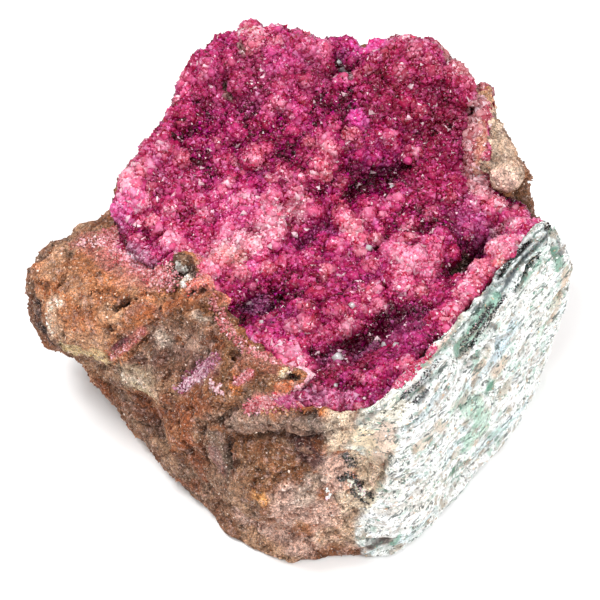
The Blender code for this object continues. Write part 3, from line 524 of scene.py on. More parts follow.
# Broad areas of the crust that are lighter or darker: by how much, radius in mm, pixels that they lie along.
# They are partly the crust's own tone and partly painted light and shade, with painted shade along its clefts.
CRUST_AREAS = [
    (0.18, 2.0, [(266, 150), (284, 158)]),
    (-0.10, 2.0, [(296, 146), (312, 160)]),
    (-0.10, 2.4, [(356, 96), (372, 120), (400, 118)]),
    (-0.14, 2.0, [(446, 116), (452, 134)]),
    (0.14, 2.0, [(386, 150), (404, 158)]),
    (0.12, 1.8, [(330, 180), (342, 190)]),
    (0.14, 2.0, [(148, 212), (176, 240), (190, 250)]),
    (0.14, 1.8, [(478, 206), (490, 222)]),
    (0.12, 1.6, [(506, 236), (516, 244)]),
    (0.12, 1.6, [(238, 270), (250, 280)]),
    (-0.16, 2.0, [(358, 296), (368, 306)]),
    (-0.20, 1.6, [(388, 328), (400, 338)]),
    (-0.12, 2.4, [(330, 358), (366, 364)]),
    (0.30, 1.4, [(296, 358), (306, 368)]),
    (-0.12, 1.8, [(330, 392), (348, 396)]),
    (-0.12, 1.6, [(392, 268), (398, 284)]),
    (-0.16, 2.0, [(268, 180), (284, 186)]),
    (-0.16, 2.0, [(360, 208), (372, 218)]),
    (0.20, 2.0, [(268, 112), (284, 124)]),
    (0.16, 2.4, [(206, 214), (244, 214)]),
    (0.14, 2.0, [(326, 180), (340, 190)]),
    (0.12, 2.0, [(388, 146), (400, 156)]),
    (-0.30, 1.8, [(388, 336), (404, 328)]),
    (-0.14, 2.4, [(330, 366), (366, 362), (392, 356)]),
    (0.16, 2.0, [(392, 300), (420, 302)]),
    (0.20, 4.0, [(140, 205), (170, 220), (210, 224), (250, 220), (270, 212)]),
    (0.16, 2.6, [(106, 222), (124, 196)]),
    (0.16, 2.4, [(226, 250), (246, 256), (264, 262)]),
    (0.10, 2.4, [(205, 155), (235, 165)]),
    (0.22, 2.2, [(356, 236), (374, 244)]),
    (0.09, 2.2, [(404, 260), (430, 268), (426, 288)]),
    (0.12, 2.2, [(480, 100), (482, 140), (482, 175), (480, 205)]),
    (0.24, 2.8, [(500, 196), (522, 218), (500, 240)]),
    (0.14, 2.0, [(474, 290), (466, 304)]),
    (0.32, 2.2, [(368, 300), (362, 322), (344, 336), (330, 334)]),
    (0.26, 1.6, [(352, 334), (368, 322)]),
    (0.24, 1.8, [(262, 346), (286, 358)]),
    (0.10, 2.0, [(112, 236), (140, 232), (166, 246)]),
    (-0.36, 2.2, [(268, 60), (300, 66)]),
    (0.22, 1.5, [
        (112, 224), (110, 212), (124, 188), (146, 146), (172, 102), (184, 78), (206, 46), (228, 28),
    ]),
    (0.14, 1.2, [(244, 30), (280, 28), (312, 38)]),
    (0.10, 1.2, [(384, 34), (412, 38), (440, 54), (466, 80)]),
    (-0.20, 4.0, [(232, 62), (240, 92), (262, 116), (206, 124)]),
    (-0.14, 2.0, [(240, 90), (248, 110)]),
    (-0.14, 2.0, [(150, 180), (156, 196)]),
    (-0.36, 2.6, [(450, 100), (454, 118), (454, 150)]),
    (-0.14, 2.4, [(448, 206), (454, 238)]),
    (-0.22, 4.0, [(330, 70), (350, 92), (390, 80), (420, 64)]),
    (-0.18, 4.0, [(444, 84), (448, 124), (396, 110)]),
    (-0.16, 2.0, [(330, 118), (340, 128)]),
    (0.14, 2.2, [(330, 150), (334, 166)]),
    (-0.14, 2.6, [(180, 122), (186, 150)]),
    (-0.10, 2.4, [(152, 186), (160, 176)]),
    (-0.10, 3.2, [(262, 158), (290, 146), (266, 184)]),
    (0.12, 2.6, [(298, 184), (310, 200), (288, 206)]),
    (-0.14, 2.4, [(326, 218), (346, 202)]),
    (0.18, 2.8, [(264, 212), (300, 216)]),
    (0.28, 2.0, [(380, 300), (398, 290)]),
    (-0.08, 3.0, [(420, 216), (440, 214)]),
    (0.14, 2.0, [(388, 206), (398, 216)]),
    (-0.12, 2.0, [(392, 184), (412, 186)]),
    (-0.12, 3.0, [(300, 272), (316, 280)]),
    (-0.34, 3.0, [(384, 332), (410, 320)]),
    (-0.14, 2.0, [(422, 332), (410, 344)]),
    (-0.18, 2.2, [(326, 368), (350, 360)]),
    (0.50, 1.8, [(290, 354), (306, 364)]),
    (-0.14, 2.0, [(450, 300), (446, 312)]),
    (-0.38, 2.8, [(322, 370), (350, 356), (384, 338), (404, 324)]),
    (-0.16, 2.8, [(384, 368), (410, 350), (424, 340)]),
    (-0.36, 2.2, [(244, 318), (262, 310), (284, 304), (302, 310), (326, 314)]),
    (-0.36, 1.9, [(354, 192), (378, 176), (412, 168)]),
    (-0.24, 1.3, [(452, 274), (474, 260), (486, 250)]),
    (-0.16, 1.5, [(296, 252), (316, 238)]),
    (-0.20, 1.2, [(150, 234), (154, 240)]),
]
# What the number of a dark or a light area is multiplied by.
DARK_GAIN = 1.25
LIGHT_GAIN = 0.9
# Share of the crystals that frost covers, and how strongly it covers those and the rest.
FROST_SHARE = 0.35
FROST_COVER = (0.85, 0.25)

# Ball-shaped clusters: how many, radius in mm, how far sunk; share, tint and strength of each colour. Each
# tint is laid on a cluster's crown where the crust is lit, partly its own colour and partly painted light.
CLUSTER_COUNT = 1100
CLUSTER_RADIUS = (0.45, 1.35)
CLUSTER_SUNK = (0.2, 0.6)
CLUSTER_TINTS = [
    (0.46, RASPBERRY, 0.0), (0.16, MAGENTA, 0.2), (0.14, PEACH, 0.2), (0.10, PALE_PINK, 0.2),
    (0.10, CRIMSON, 0.3), (0.04, HOT_PINK, 0.25),
]

# Crystals over the crust: name, seed, how many, shape, edge in mm, height as a share of the edge, how far
# sunk, how far tilted, share of painted glints, and how far they differ in lightness.
DULL_CRYSTALS = [
    ("crystal_dust", 21, 26000, "tip", (0.16, 0.3), (0.8, 1.6), 0.0, 0.5, 0.04, 0.33),
    ("fine_crystals", 7, 46000, "tip", (0.28, 0.66), (0.8, 1.3), 0.1, 0.38, 0.03, 0.33),
]
GLASSY_CRYSTALS = [
    ("middle_crystals", 9, 11000, "tip", (0.55, 1.1), (0.8, 1.25), 0.16, 0.36, 0.05, 0.33),
    ("round_grains", 15, 1200, "bead", (0.26, 0.56), (0.85, 1.1), 0.2, 0.5, 0.0, 0.16),
    ("coarse_crystals", 11, 250, "rhomb", (0.7, 1.25), (0.6, 1.0), 0.25, 0.4, 0.0, 0.33),
]
SAND_GRAINS = 24000
SAND_SIZE = (0.2, 0.46)
PALE_FLAKES = 3000
FLAKE_TINTS = [(0.10, SLATE), (0.10, SLATE_PALE), (0.08, TAN), (0.05, MALACHITE), (0.12, (252, 252, 250))]
FLOOR_GAP = 0.4  # mm above the floor below which no grain or flake sits

# Layers of a finish, in the order that they are laid, each with the coordinates it lies on. Flecks have a
# scale, the noise where they start and where they are full, a strength and a colour. Mottling has a scale,
# and how far it darkens and lightens.
BROWN_LAYERS = [
    ("plain", 900, 0.54, 0.68, 0.3, RUST),
    ("plain", 1150, 0.54, 0.66, 0.45, (196, 160, 150)),
    ("plain", 1100, 0.56, 1.48),
    ("plain", 3000, 0.34, 1.8),
    ("plain", 7000, 0.42, 1.72),
    # Light specks: partly pale grains, partly painted glints.
    ("plain", 3900, 0.60, 0.68, 0.65, (236, 214, 200)),
    # Dark specks: partly dark grains, partly painted shade in tiny pits.
    ("plain", 2700, 0.59, 0.67, 0.8, (58, 40, 36)),
]
PALE_LAYERS = [
    ("fibres", 1300, 0.55, 0.64, 0.55, (176, 160, 150)),
    ("fibres", 900, 0.57, 0.66, 0.5, (140, 180, 164)),
    ("fibres", 2200, 0.82, 1.2),
    ("plain", 6000, 0.8, 1.26),
    ("plain", 1300, 0.58, 0.63, 0.6, (156, 138, 120)),
    ("fibres", 1700, 0.58, 0.63, 0.85, (92, 104, 100)),
    ("plain", 1600, 0.60, 0.64, 0.6, (110, 150, 134)),
    ("plain", 2300, 0.61, 0.65, 0.85, (72, 78, 76)),
]

# Soft lamps: name, place and size in metres, power in watts. A ring of small ones makes the crystals glint.
LAMPS = [
    ("key", (-0.22, 0.05, 0.42), 0.12, 1.28),
    ("front", (0.10, -0.42, 0.34), 0.25, 0.62),
    ("right", (0.42, -0.20, 0.22), 0.20, 1.15),
]
RING_LAMPS = 6
RING_RADIUS = 0.2
RING_SHIFT = 0.05
RING_HEIGHT = 0.46
RING_LAMP_SIZE = 0.03
RING_LAMP_POWER = 0.155
SKY_STRENGTH = 0.73


def linear(colour):
    """A colour as seen, 0 to 255, as linear light."""
    seen = np.asarray(colour, float) / 255
    return np.where(seen <= 0.04045, seen / 12.92, ((seen + 0.055) / 1.055) ** 2.4)


def deselect_all():
    for obj in bpy.context.selected_objects:
        obj.select_set(False)


def smooth_step(value, start, end):
    share = np.clip((np.asarray(value, float) - start) / (end - start), 0, 1)
    return share * share * (3 - 2 * share)


# Camera, and where a pixel lands

CAMERA_TURN = Euler((math.pi / 2 - CAMERA_ELEVATION, 0, 0)).to_matrix()
CAMERA_PLACE = LOOK_AT + CAMERA_TURN @ Vector((0, 0, CAMERA_DISTANCE))
LENS_MM = SENSOR_MM * CAMERA_DISTANCE / MM * PIXELS_PER_MM / PHOTO_SIDE


def pixel_ray(pixel):
    """The way from the camera through a pixel of the photograph."""
    side = SENSOR_MM / LENS_MM / PHOTO_SIDE
    middle = PHOTO_SIDE / 2
    return (CAMERA_TURN @ Vector(((pixel[0] - middle) * side, (middle - pixel[1]) * side, -1))).normalized()


def land(tree, pixel):
    """The point and normal where a pixel lands on a surface, or None off it."""
    point, normal, _, _ = tree.ray_cast(CAMERA_PLACE, pixel_ray(pixel))
    return (point, normal) if point else None


def landed(tree, pixels):
    found = [land(tree, pixel) for pixel in pixels]
    return [np.array(place[0]) for place in found if place]


# Meshes

def link(obj):
    bpy.context.scene.collection.objects.link(obj)
    return obj


def object_from(name, bm):
    mesh = bpy.data.meshes.new(name)
    bm.to_mesh(mesh)
    bm.free()
    return link(bpy.data.objects.new(name, mesh))


def merged_copy(node, name):
    """A copy of a CAD node's mesh with its loose triangles merged, as a new object."""
    bm = bmesh.new()
    bm.from_mesh(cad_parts[node].data)
    bmesh.ops.remove_doubles(bm, verts=bm.verts, dist=1e-7)
    return object_from(name, bm)


def one_skin(obj, voxel, smoothing):
    """Remeshes an object to even small faces, and rounds it a little."""
    remesh = obj.modifiers.new("skin", "REMESH")
    remesh.mode = "VOXEL"
    remesh.voxel_size = voxel
    smooth = obj.modifiers.new("round", "SMOOTH")
    smooth.iterations = smoothing
    smooth.factor = 0.5
    deselect_all()
    obj.select_set(True)
    bpy.context.view_layer.objects.active = obj
    for modifier in list(obj.modifiers):
        bpy.ops.object.modifier_apply(modifier=modifier.name)


def with_balls(obj, balls):
    """The object with balls added to it, each a centre and a radius in mm, not yet one skin."""
    name = obj.name
    bm = bmesh.new()
    bm.from_mesh(obj.data)
    bpy.data.objects.remove(obj)
    for centre, radius in balls:
        place = Matrix.Translation(Vector(centre))
        steps = 3 if radius > FINE_BALL else 2
        bmesh.ops.create_icosphere(bm, subdivisions=steps, radius=radius * MM, matrix=place)
    return object_from(name, bm)


def read_vectors(items, key):
    values = np.empty(len(items) * 3, np.float32)
    items.foreach_get(key, values)
    return values.reshape(-1, 3).astype(float)


def points_of(obj):
    return read_vectors(obj.data.vertices, "co")


def normals_of(obj):
    return read_vectors(obj.data.vertices, "normal")


def move_points(obj, points):
    obj.data.vertices.foreach_set("co", points.astype(np.float32).reshape(-1))
    obj.data.update()


def corners_of(obj):
    """The three point numbers of each triangle of an object."""
    obj.data.calc_loop_triangles()
    corners = np.empty(len(obj.data.loop_triangles) * 3, np.int32)
    obj.data.loop_triangles.foreach_get("vertices", corners)
    return corners.reshape(-1, 3)


def tree_of(*objects):
    """One search tree over several objects, for landing pixels on whichever is in front."""
    points, corners, count = [], [], 0
    for obj in objects:
        points.append(points_of(obj))
        corners.append(corners_of(obj) + count)
        count += len(points[-1])
    return BVHTree.FromPolygons(np.concatenate(points).tolist(), np.concatenate(corners).tolist())


def set_colours(mesh, colours):
    layer = mesh.attributes.new("zone_colour", "FLOAT_COLOR", "POINT")
    full = np.ones((len(colours), 4), np.float32)
    full[:, :3] = np.clip(colours, 0, 1)
    layer.data.foreach_set("color", full.reshape(-1))


def set_values(mesh, name, values):
    layer = mesh.attributes.new(name, "FLOAT", "POINT")
    layer.data.foreach_set("value", np.asarray(values, np.float32))


# Fields over a surface

def rough(points, grain, seed):
    """Noise from -1 to 1 at each point, with this grain in mm."""
    places = points / (grain * MM) + np.array([seed, 2.3 * seed, 0.7 * seed])
    return np.array([noise.noise(place) for place in places.tolist()])


def layered(points, layers):
    """Several layers of noise, summed."""
    return sum(height * rough(points, grain, seed) for height, grain, seed in layers)


def cell_edges(points, grain, seed):
    """0 along the seams between cells of this size in mm, rising into each cell."""
    places = points / (grain * MM) + seed
    found = [noise.voronoi(place)[0] for place in places.tolist()]
    return np.array([f[1] - f[0] for f in found])


def along_fibres(points, share):
    """Points with their run along the pale face's fibres shortened by this share."""
    run = np.array(PALE_RUN)
    return points - np.outer(points @ run * share, run)


def stroke_distance(points, chain):
    """Distance from each point to a chain of places; none is near if the chain is empty."""
    if not chain:
        return np.full(len(points), np.inf)
    nearest = np.linalg.norm(points - chain[0], axis=1)
    for start, end in zip(chain, chain[1:]):
        run = end - start
        share = np.clip((points - start) @ run / (run @ run), 0, 1)
        nearest = np.minimum(nearest, np.linalg.norm(points - start - share[:, None] * run, axis=1))
    return nearest


def near_stroke(points, tree, pixels, radius, fade, ragged=0.0):
    """1 along a stroke that runs through these pixels, 0 away from it, with ragged edges if given."""
    far = stroke_distance(points, landed(tree, pixels)) / (radius * MM) + ragged * 0.5
    return 1 - smooth_step(far, *fade)


def lay(colours, cover, colour):
    """Mixes one colour into a surface's colours, by a cover from 0 to 1 at each point."""
    colours += cover[:, None] * (linear(colour) - colours)


def lay_fields(colours, layers):
    """Lays colours one after another, each where its field rises from a start to an end, by its strength."""
    for field, start, end, strength, colour in layers:
        lay(colours, smooth_step(field, start, end) * strength, colour)


def paint(colours, points, tree, strokes, ragged):
    """Lays strokes of colour over a surface's colours, with ragged edges."""
    for colour, radius, strength, pixels in strokes:
        lay(colours, strength * near_stroke(points, tree, pixels, radius, PAINT_FADE, ragged), colour)


# Rock

def pale_cover(points, ragged):
    """How far each point of the rock is covered by the pale mineral skin, 0 to 1."""
    depth = (points - np.array(PALE_PLANE_POINT)) @ np.array(PALE_PLANE_NORMAL) / MM
    height = points[:, 2] / MM
    face = smooth_step(depth + 0.7 * ragged, *FACE_EDGE)
    shoulder = smooth_step(depth + 0.5 * ragged, *SHOULDER_EDGE)
    cover = np.maximum(face, shoulder * smooth_step(height + ragged, *SHOULDER_HEIGHT))
    for pixels, radius in PALE_PATCHES:
        cover = np.maximum(cover, near_stroke(points, cad_tree, pixels, radius, PAINT_FADE, ragged))
    return cover


def rock_block():
    """The rock before it is roughened: the CAD block rounded, with lumps and rims grown on it."""
    block = merged_copy("matrix_rock", "broken_block")
    one_skin(block, *ROCK_ROUNDING)
    balls = []
    for pixel, radius, lift in ROCK_BALLS:
        place, outward = land(cad_tree, pixel)
        balls.append((place + outward * (radius * lift * MM), radius))
    block = with_balls(block, balls)
    one_skin(block, *ROCK_SKIN)
    return block


def chipped(points, size, seed, height, level, depth):
    """Relief in mm of chips, broken along the seams between cells."""
    return height * np.minimum(cell_edges(points, size, seed), level) - depth


def cracked(field, width):
    """Relief in mm of cracks where a field crosses 0."""
    return -CRACK_DEPTH * (1 - smooth_step(np.abs(field), 0.0, width))


def rock_relief(points, fibre_points, tree, ragged, pale):
    """Relief of the rock in mm: chips, grains and cracks, fibres on the pale skin, then pits and ridges."""
    chips = chipped(points, *ROCK_CHIPS) + chipped(points, *SMALL_CHIPS)
    cracks = cracked(rough(points, 4.2, 20) + 0.25 * ragged, 0.09)
    brown = chips + layered(points, ROCK_LUMPS) + layered(points, ROCK_GRAINS) + cracks
    fibres = layered(fibre_points, PALE_FIBRES) + layered(points, PALE_GRAINS)
    splits = cracked(rough(along_fibres(points, SPLIT_STRETCH), 3.4, 21), 0.07)
    relief = (1 - pale) * brown + pale * (PALE_SWELL + fibres + splits)
    for pixels, radius, depth in PITS:
        relief -= depth * near_stroke(points, tree, pixels, radius, PIT_FADE)
    for pixels, radius, height in RIDGES:
        relief += height * near_stroke(points, tree, pixels, radius, RIDGE_FADE)
    return relief


def brown_colours(points, tree, ragged):
    """Colours of the brown rock: broad zones, the painted places, and a fine speckle over them."""
    wide, patchy, fine = rough(points, 9, 31), rough(points, 4, 37), rough(points, 1.3, 39)
    colours = np.tile(linear(BROWN), (len(points), 1))
    lay_fields(colours, (
        (wide + 0.3 * ragged, 0.0, 0.35, 1.0, GREY_BROWN),
        (0.1 - wide + 0.3 * ragged, 0.2, 0.5, 0.8, OCHRE_DARK),
        (patchy + 0.2 * ragged, 0.25, 0.5, 0.6, RUST),
        (-patchy + 0.25 * ragged, 0.3, 0.55, 0.5, UMBER),
        (rough(points, 5, 41), 0.25, 0.5, 0.5, TAN),
    ))
    paint(colours, points, tree, ROCK_STROKES, ragged)
    lay_fields(colours, (
        (fine + 0.3 * ragged, 0.25, 0.5, 0.35, TAN),
        (-fine + 0.3 * ragged, 0.25, 0.5, 0.35, RUST),
        (rough(points, 1.1, 40), 0.3, 0.5, 0.4, UMBER),
    ))
    return colours * ROCK_TONE


def pale_colours(points, fibre_points, tree, ragged):
    """Colours of the pale skin: white, with mint, blue and tan drawn out along its fibres, and spots."""
    streaks, blotch = rough(fibre_points, 1.8, 43), rough(fibre_points, 3.2, 47)
    spots = rough(points, 1.2, 44) + 0.35 * ragged
    colours = np.tile(linear(OFF_WHITE), (len(points), 1))
    lay_fields(colours, (
        (blotch + 0.6 * streaks + 0.2 * ragged, 0.35, 0.65, 0.6, MINT),
        (-blotch + 0.6 * streaks + 0.2 * ragged, 0.35, 0.6, 0.5, PALE_BLUE),
        (streaks + 0.4 * ragged, 0.45, 0.65, 0.45, TAN),
        (-streaks + 0.4 * ragged, 0.46, 0.7, 0.35, SLATE_PALE),
        (spots, 0.3, 0.46, 0.75, (168, 148, 126)),
        (-spots, 0.36, 0.54, 0.6, (140, 176, 162)),
        (rough(points, 1.5, 45) + 0.3 * ragged, 0.3, 0.5, 0.5, (196, 204, 206)),
    ))
    paint(colours, points, tree, PALE_STROKES, ragged)
    return colours


def dress_rock(rock, tree):
    """Roughens the rock and colours it by zone, with painted shade in its hollows and painted light on its
    bumps.
    Gives its colours without that shade, and its cover of pale skin.
    """
    points, normals = points_of(rock), normals_of(rock)
    ragged = layered(points, RAGGED_EDGE)
    pale = pale_cover(points, ragged)
    fibre_points = along_fibres(points, FIBRE_STRETCH)
    relief = rock_relief(points, fibre_points, tree, ragged, pale)
    footing = smooth_step(points[:, 2] / MM, 0.0, FOOTING)
    moved = points + normals * (relief * footing * MM)[:, None]
    moved[:, 2] = np.maximum(moved[:, 2], 0)
    move_points(rock, moved)

    colours = brown_colours(points, tree, ragged)
    colours += pale[:, None] * (pale_colours(points, fibre_points, tree, ragged) - colours)
    # Painted shade in the rock's hollows and painted light on its bumps, by its relief.
    shade = np.clip(1 + SHADE_GAIN * (relief - SHADE_MIDDLE), *SHADE_RANGE)
    set_colours(rock.data, colours * shade[:, None])
    set_values(rock.data, "pale_skin", pale)
    return colours, pale


# Crust

def area_draw(obj, count, draw, weigh):
    """Random places on an object's faces: places, normals and a point number near each. weigh gives
    each face's share from the middles and normals of the faces, besides its area."""
    points, corners = points_of(obj), corners_of(obj)
    a, b, c = (points[corners[:, i]] for i in range(3))
    cross = np.cross(b - a, c - a)
    area = np.linalg.norm(cross, axis=1)
    normals = cross / np.maximum(area, 1e-20)[:, None]
    weight = area * weigh((a + b + c) / 3, normals)
    chosen = draw.choice(len(corners), count, p=weight / weight.sum())
    u, v = draw.random((2, count))
    over = u + v > 1
    u, v = np.where(over, 1 - u, u), np.where(over, 1 - v, v)
    places = a[chosen] + u[:, None] * (b - a)[chosen] + v[:, None] * (c - a)[chosen]
    return places, normals[chosen], corners[chosen, 0]


def open_crust(least):
    """A weight that leaves out faces of the crust that point lower than this, or that rock covers."""
    chains = [(landed(cad_tree, pixels), radius * MM) for pixels, radius in CRUST_BARE]

    def weigh(middles, normals):
        weight = (normals[:, 2] > least).astype(float)
        for chain, radius in chains:
            weight *= stroke_distance(middles, chain) > radius
        return weight

    return weigh


class Clusters:
    """The ball-shaped clusters of crystals grown on the crust."""

    def __init__(self, crust):
        draw = np.random.default_rng(5)
        places, outward, _ = area_draw(crust, CLUSTER_COUNT, draw, open_crust(0.1))
        least, most = CLUSTER_RADIUS
        radii = least + (most - least) * draw.random(CLUSTER_COUNT) ** 1.5
        lifts = -draw.uniform(*CLUSTER_SUNK, CLUSTER_COUNT)
        landings = [(land(cad_tree, pixel), radius, lift) for pixel, radius, lift in CRUST_SWELLS]
        swells = [(*hit, radius, lift) for hit, radius, lift in landings if hit]
        places = np.concatenate([places, [swell[0] for swell in swells]])
        self.outward = np.concatenate([outward, [swell[1] for swell in swells]])
        self.radii = np.concatenate([radii, [swell[2] for swell in swells]])
        lifts = np.concatenate([lifts, [swell[3] for swell in swells]])
        count = len(places)
        self.centres = places + self.outward * (self.radii * lifts * MM)[:, None]
        self.lift = draw.normal(0, 0.06, count)
        shares = [share for share, _, _ in CLUSTER_TINTS]
        self.tints = draw.choice(len(CLUSTER_TINTS), count, p=shares)
        self.finder = KDTree(count)
        for number, centre in enumerate(self.centres):
            self.finder.insert(centre, number)
        self.finder.balance()

    def nearest(self, points):
        """The number of each point's ball, and how near its crown it is: 1 there, and 0 at its foot."""
        numbers, crowns = np.empty(len(points), int), np.empty(len(points))
        for at, point in enumerate(points.tolist()):
            found = self.finder.find_n(point, 4)
            off, number = min((far - self.radii[number] * MM, number) for _, number, far in found)
            reach = Vector(point) - Vector(self.centres[number])
            crown = reach.normalized().dot(self.outward[number])
            numbers[at], crowns[at] = number, crown - 2.2 * max(off / MM - 0.15, 0)
        return numbers, np.clip(crowns, -0.6, 1)


def crust_ground():
    """The crust's body: the CAD crust rounded, with ball-shaped crystal clusters grown on it."""
    crust = merged_copy("calcite_crust", "crust_ground")
    one_skin(crust, *CRUST_ROUNDING)
    clusters = Clusters(crust)
    ground = with_balls(crust, zip(clusters.centres, clusters.radii))
    one_skin(ground, *CRUST_SKIN)
    points, normals = points_of(ground), normals_of(ground)
    move = layered(points, CRUST_GRAINS)
    tree = tree_of(ground)
    for pixels, radius, depth in CRUST_PITS:
        move -= depth * near_stroke(points, tree, pixels, radius, CLEFT_FADE)
    move_points(ground, points + normals * (move * MM)[:, None])
    return ground, clusters


class Relief:
    """Height of the crust against its own surroundings, from a grid of heights."""

    pitch = 0.5 * MM
    half = 33 * MM
    top = 0.08
    near_reach, far_reach = 5, 14

    def __init__(self, tree):
        count = round(2 * self.half / self.pitch) + 1
        heights = np.full((count, count), np.nan)
        down = Vector((0, 0, -1))
        for i in range(count):
            for j in range(count):
                start = Vector((i * self.pitch - self.half, j * self.pitch - self.half, self.top))
                hit = tree.ray_cast(start, down)[0]
                if hit:
                    heights[i, j] = hit.z
        self.near_mean = self.blurred(heights, self.near_reach)
        self.far_mean = self.blurred(heights, self.far_reach)

    @staticmethod
    def blurred(heights, reach):
        """Mean of the known heights within a square of this reach."""
        known = np.isfinite(heights)
        span, count = 2 * reach + 1, len(heights)

        def box(grid):
            total = np.pad(grid, reach + 1).cumsum(0).cumsum(1)
            far, near = slice(span, span + count), slice(0, count)
            return total[far, far] - total[near, far] - total[far, near] + total[near, near]

        return box(np.where(known, heights, 0)) / np.maximum(box(known.astype(float)), 1e-9)

    def at(self, points):
        """About 0 in the deepest hollow to 1 on the highest crest."""
        index = ((points[:, :2] + self.half) / self.pitch).round().astype(int)
        i, j = np.clip(index, 0, len(self.near_mean) - 1).T
        near = np.clip((points[:, 2] - self.near_mean[i, j]) / MM, -2.5, 1.3)
        far = np.clip((points[:, 2] - self.far_mean[i, j]) / MM, -3.5, 1.8)
        return 0.50 + 0.16 * near + 0.10 * far


def crust_colours(points, relief, clusters, lift, tree):
    """Colour of the crust at each point: by relief and by cluster, as painted shade in its hollows and painted
    light on its crests and cluster crowns, with the painted places over it.
    """
    numbers, crowns = clusters.nearest(points)
    # Painted shade and light: lower than the surroundings is darker, higher is lighter, and each cluster is
    # lighter at its crown.
    value = relief.at(points) + 0.22 * rough(points, 4.5, 61) + 0.11 * rough(points, 1.4, 67) + lift
    value += 0.25 * (crowns - 0.55) + clusters.lift[numbers]
    # Broad areas: partly the crust's own tone, partly painted light and shade.
    for rise, radius, pixels in CRUST_AREAS:
        gain = DARK_GAIN if rise < 0 else LIGHT_GAIN
        value += gain * rise * near_stroke(points, tree, pixels, radius, AREA_FADE)
    steps = [at for at, _ in CRUST_SCALE]
    scale = np.array([linear(colour) for _, colour in CRUST_SCALE])
    colours = np.stack([np.interp(value, steps, scale[:, i]) for i in range(3)], axis=1)
    # Tints and peach lie only where the crust is lit: partly the crystals' own colours, partly painted light.
    lit = smooth_step(value, 0.3, 0.7)
    for kind, (_, tint, strength) in enumerate(CLUSTER_TINTS):
        own = clusters.tints[numbers] == kind
        lay(colours, strength * lit * own * smooth_step(crowns, -0.1, 0.8), tint)
    lay(colours, 0.22 * smooth_step(rough(points, 6, 71), 0.0, 0.5) * smooth_step(value, 0.4, 0.9), PEACH)
    lay(colours, 0.22 * smooth_step(rough(points, 7, 73), 0.05, 0.5), MAGENTA)
    ragged = rough(points, 1.1, 79)
    paint(colours, points, tree, CRUST_STROKES, ragged)
    dither = np.random.default_rng(83).random(len(points))
    # Frost lies only where the crust is lit: partly pale crystals, partly painted light.
    for colour, radius, strength, pixels in CRUST_FROST:
        cover = strength * near_stroke(points, tree, pixels, radius, FROST_FADE, ragged)
        lay(colours, np.where(dither < FROST_SHARE * cover, *FROST_COVER) * cover * lit, colour)
    return colours


# Crystals and grains

def tip_shape():
    """The tip of a rhombohedron of edge 1: three faces and a base, with its tip up."""
    reach, rise = math.sqrt(2 / 3), 1 / math.sqrt(3)
    ring = [(reach * math.cos(a), reach * math.sin(a), 0) for a in (0, 2 * math.pi / 3, 4 * math.pi / 3)]
    return np.array([(0, 0, rise)] + ring), np.array([(0, 1, 2), (0, 2, 3), (0, 3, 1), (1, 3, 2)])


def shape_of(bm, turn):
    """Corners and triangles of a small mesh."""
    bmesh.ops.triangulate(bm, faces=bm.faces)
    corners = np.array([turn @ v.co for v in bm.verts])
    faces = np.array([[v.index for v in f.verts] for f in bm.faces])
    bm.free()
    return corners, faces


def rhomb_shape():
    """A whole rhombohedron of edge 1, a corner up."""
    bm = bmesh.new()
    bmesh.ops.create_cube(bm, size=1)
    return shape_of(bm, Vector((1, 1, 1)).rotation_difference(Vector((0, 0, 1))).to_matrix())


def chip_shape():
    """A blunt grain of eight faces, about 1 across."""
    ring = [(0.5, 0, 0), (0, 0.5, 0), (-0.5, 0, 0), (0, -0.5, 0)]
    sides = [side for i in range(4) for side in ((i, (i + 1) % 4, 4), ((i + 1) % 4, i, 5))]
    return np.array(ring + [(0.1, 0.05, 0.5), (-0.05, -0.1, -0.5)]), np.array(sides)


def bead_shape():
    """A round grain, slightly uneven, about 2 across."""
    bm = bmesh.new()
    bmesh.ops.create_icosphere(bm, subdivisions=2, radius=1)
    for v in bm.verts:
        v.co *= 1 + 0.16 * noise.noise(v.co * 2.2)
    return shape_of(bm, Matrix.Identity(3))


def turns(outward, draw, tilt):
    """For each outward way, a frame whose third axis is near it, tilted and spun at random."""
    return frames_along(outward + draw.normal(0, tilt, outward.shape), draw.normal(0, 1, outward.shape))


def frames_along(up, side):
    """Frames with their third axis along up and their first as near side as it goes."""
    up = up / np.linalg.norm(up, axis=1)[:, None]
    side = side - (side * up).sum(1)[:, None] * up
    side /= np.linalg.norm(side, axis=1)[:, None]
    return np.stack([side, np.cross(up, side), up], axis=2)


def strewn(name, shape, places, frames, sizes, colours, foot=1.0, tip=1.0):
    """Many copies of one small shape in one joined mesh, each with its own place, turn, size and colour. Each
    goes from one power of its colour at its foot to another at its tip: over 1 is darker, under 1 paler, as
    painted shade at the foot and painted light at the tip."""
    corners, faces = shape
    height = (corners[:, 2] - corners[:, 2].min()) / np.ptp(corners[:, 2])
    # Powers over 1 paint shade at the foot, and under 1 paint light at the tip.
    powers = foot + (tip - foot) * height
    count, each = len(places), len(corners)
    points = np.einsum("nij,nkj->nki", frames, corners[None] * sizes[:, None]) + places[:, None]
    numbers = (faces[None] + (np.arange(count) * each)[:, None, None]).reshape(-1, 3)
    mesh = bpy.data.meshes.new(name)
    mesh.vertices.add(count * each)
    mesh.vertices.foreach_set("co", points.reshape(-1).astype(np.float32))
    mesh.loops.add(numbers.size)
    mesh.loops.foreach_set("vertex_index", numbers.reshape(-1).astype(np.int32))
    mesh.polygons.add(len(numbers))
    mesh.polygons.foreach_set("loop_start", np.arange(0, numbers.size, 3, dtype=np.int32))
    mesh.update(calc_edges=True)
    set_colours(mesh, (np.clip(colours, 0, 1)[:, None] ** powers[:, None]).reshape(-1, 3))
    return link(bpy.data.objects.new(name, mesh))


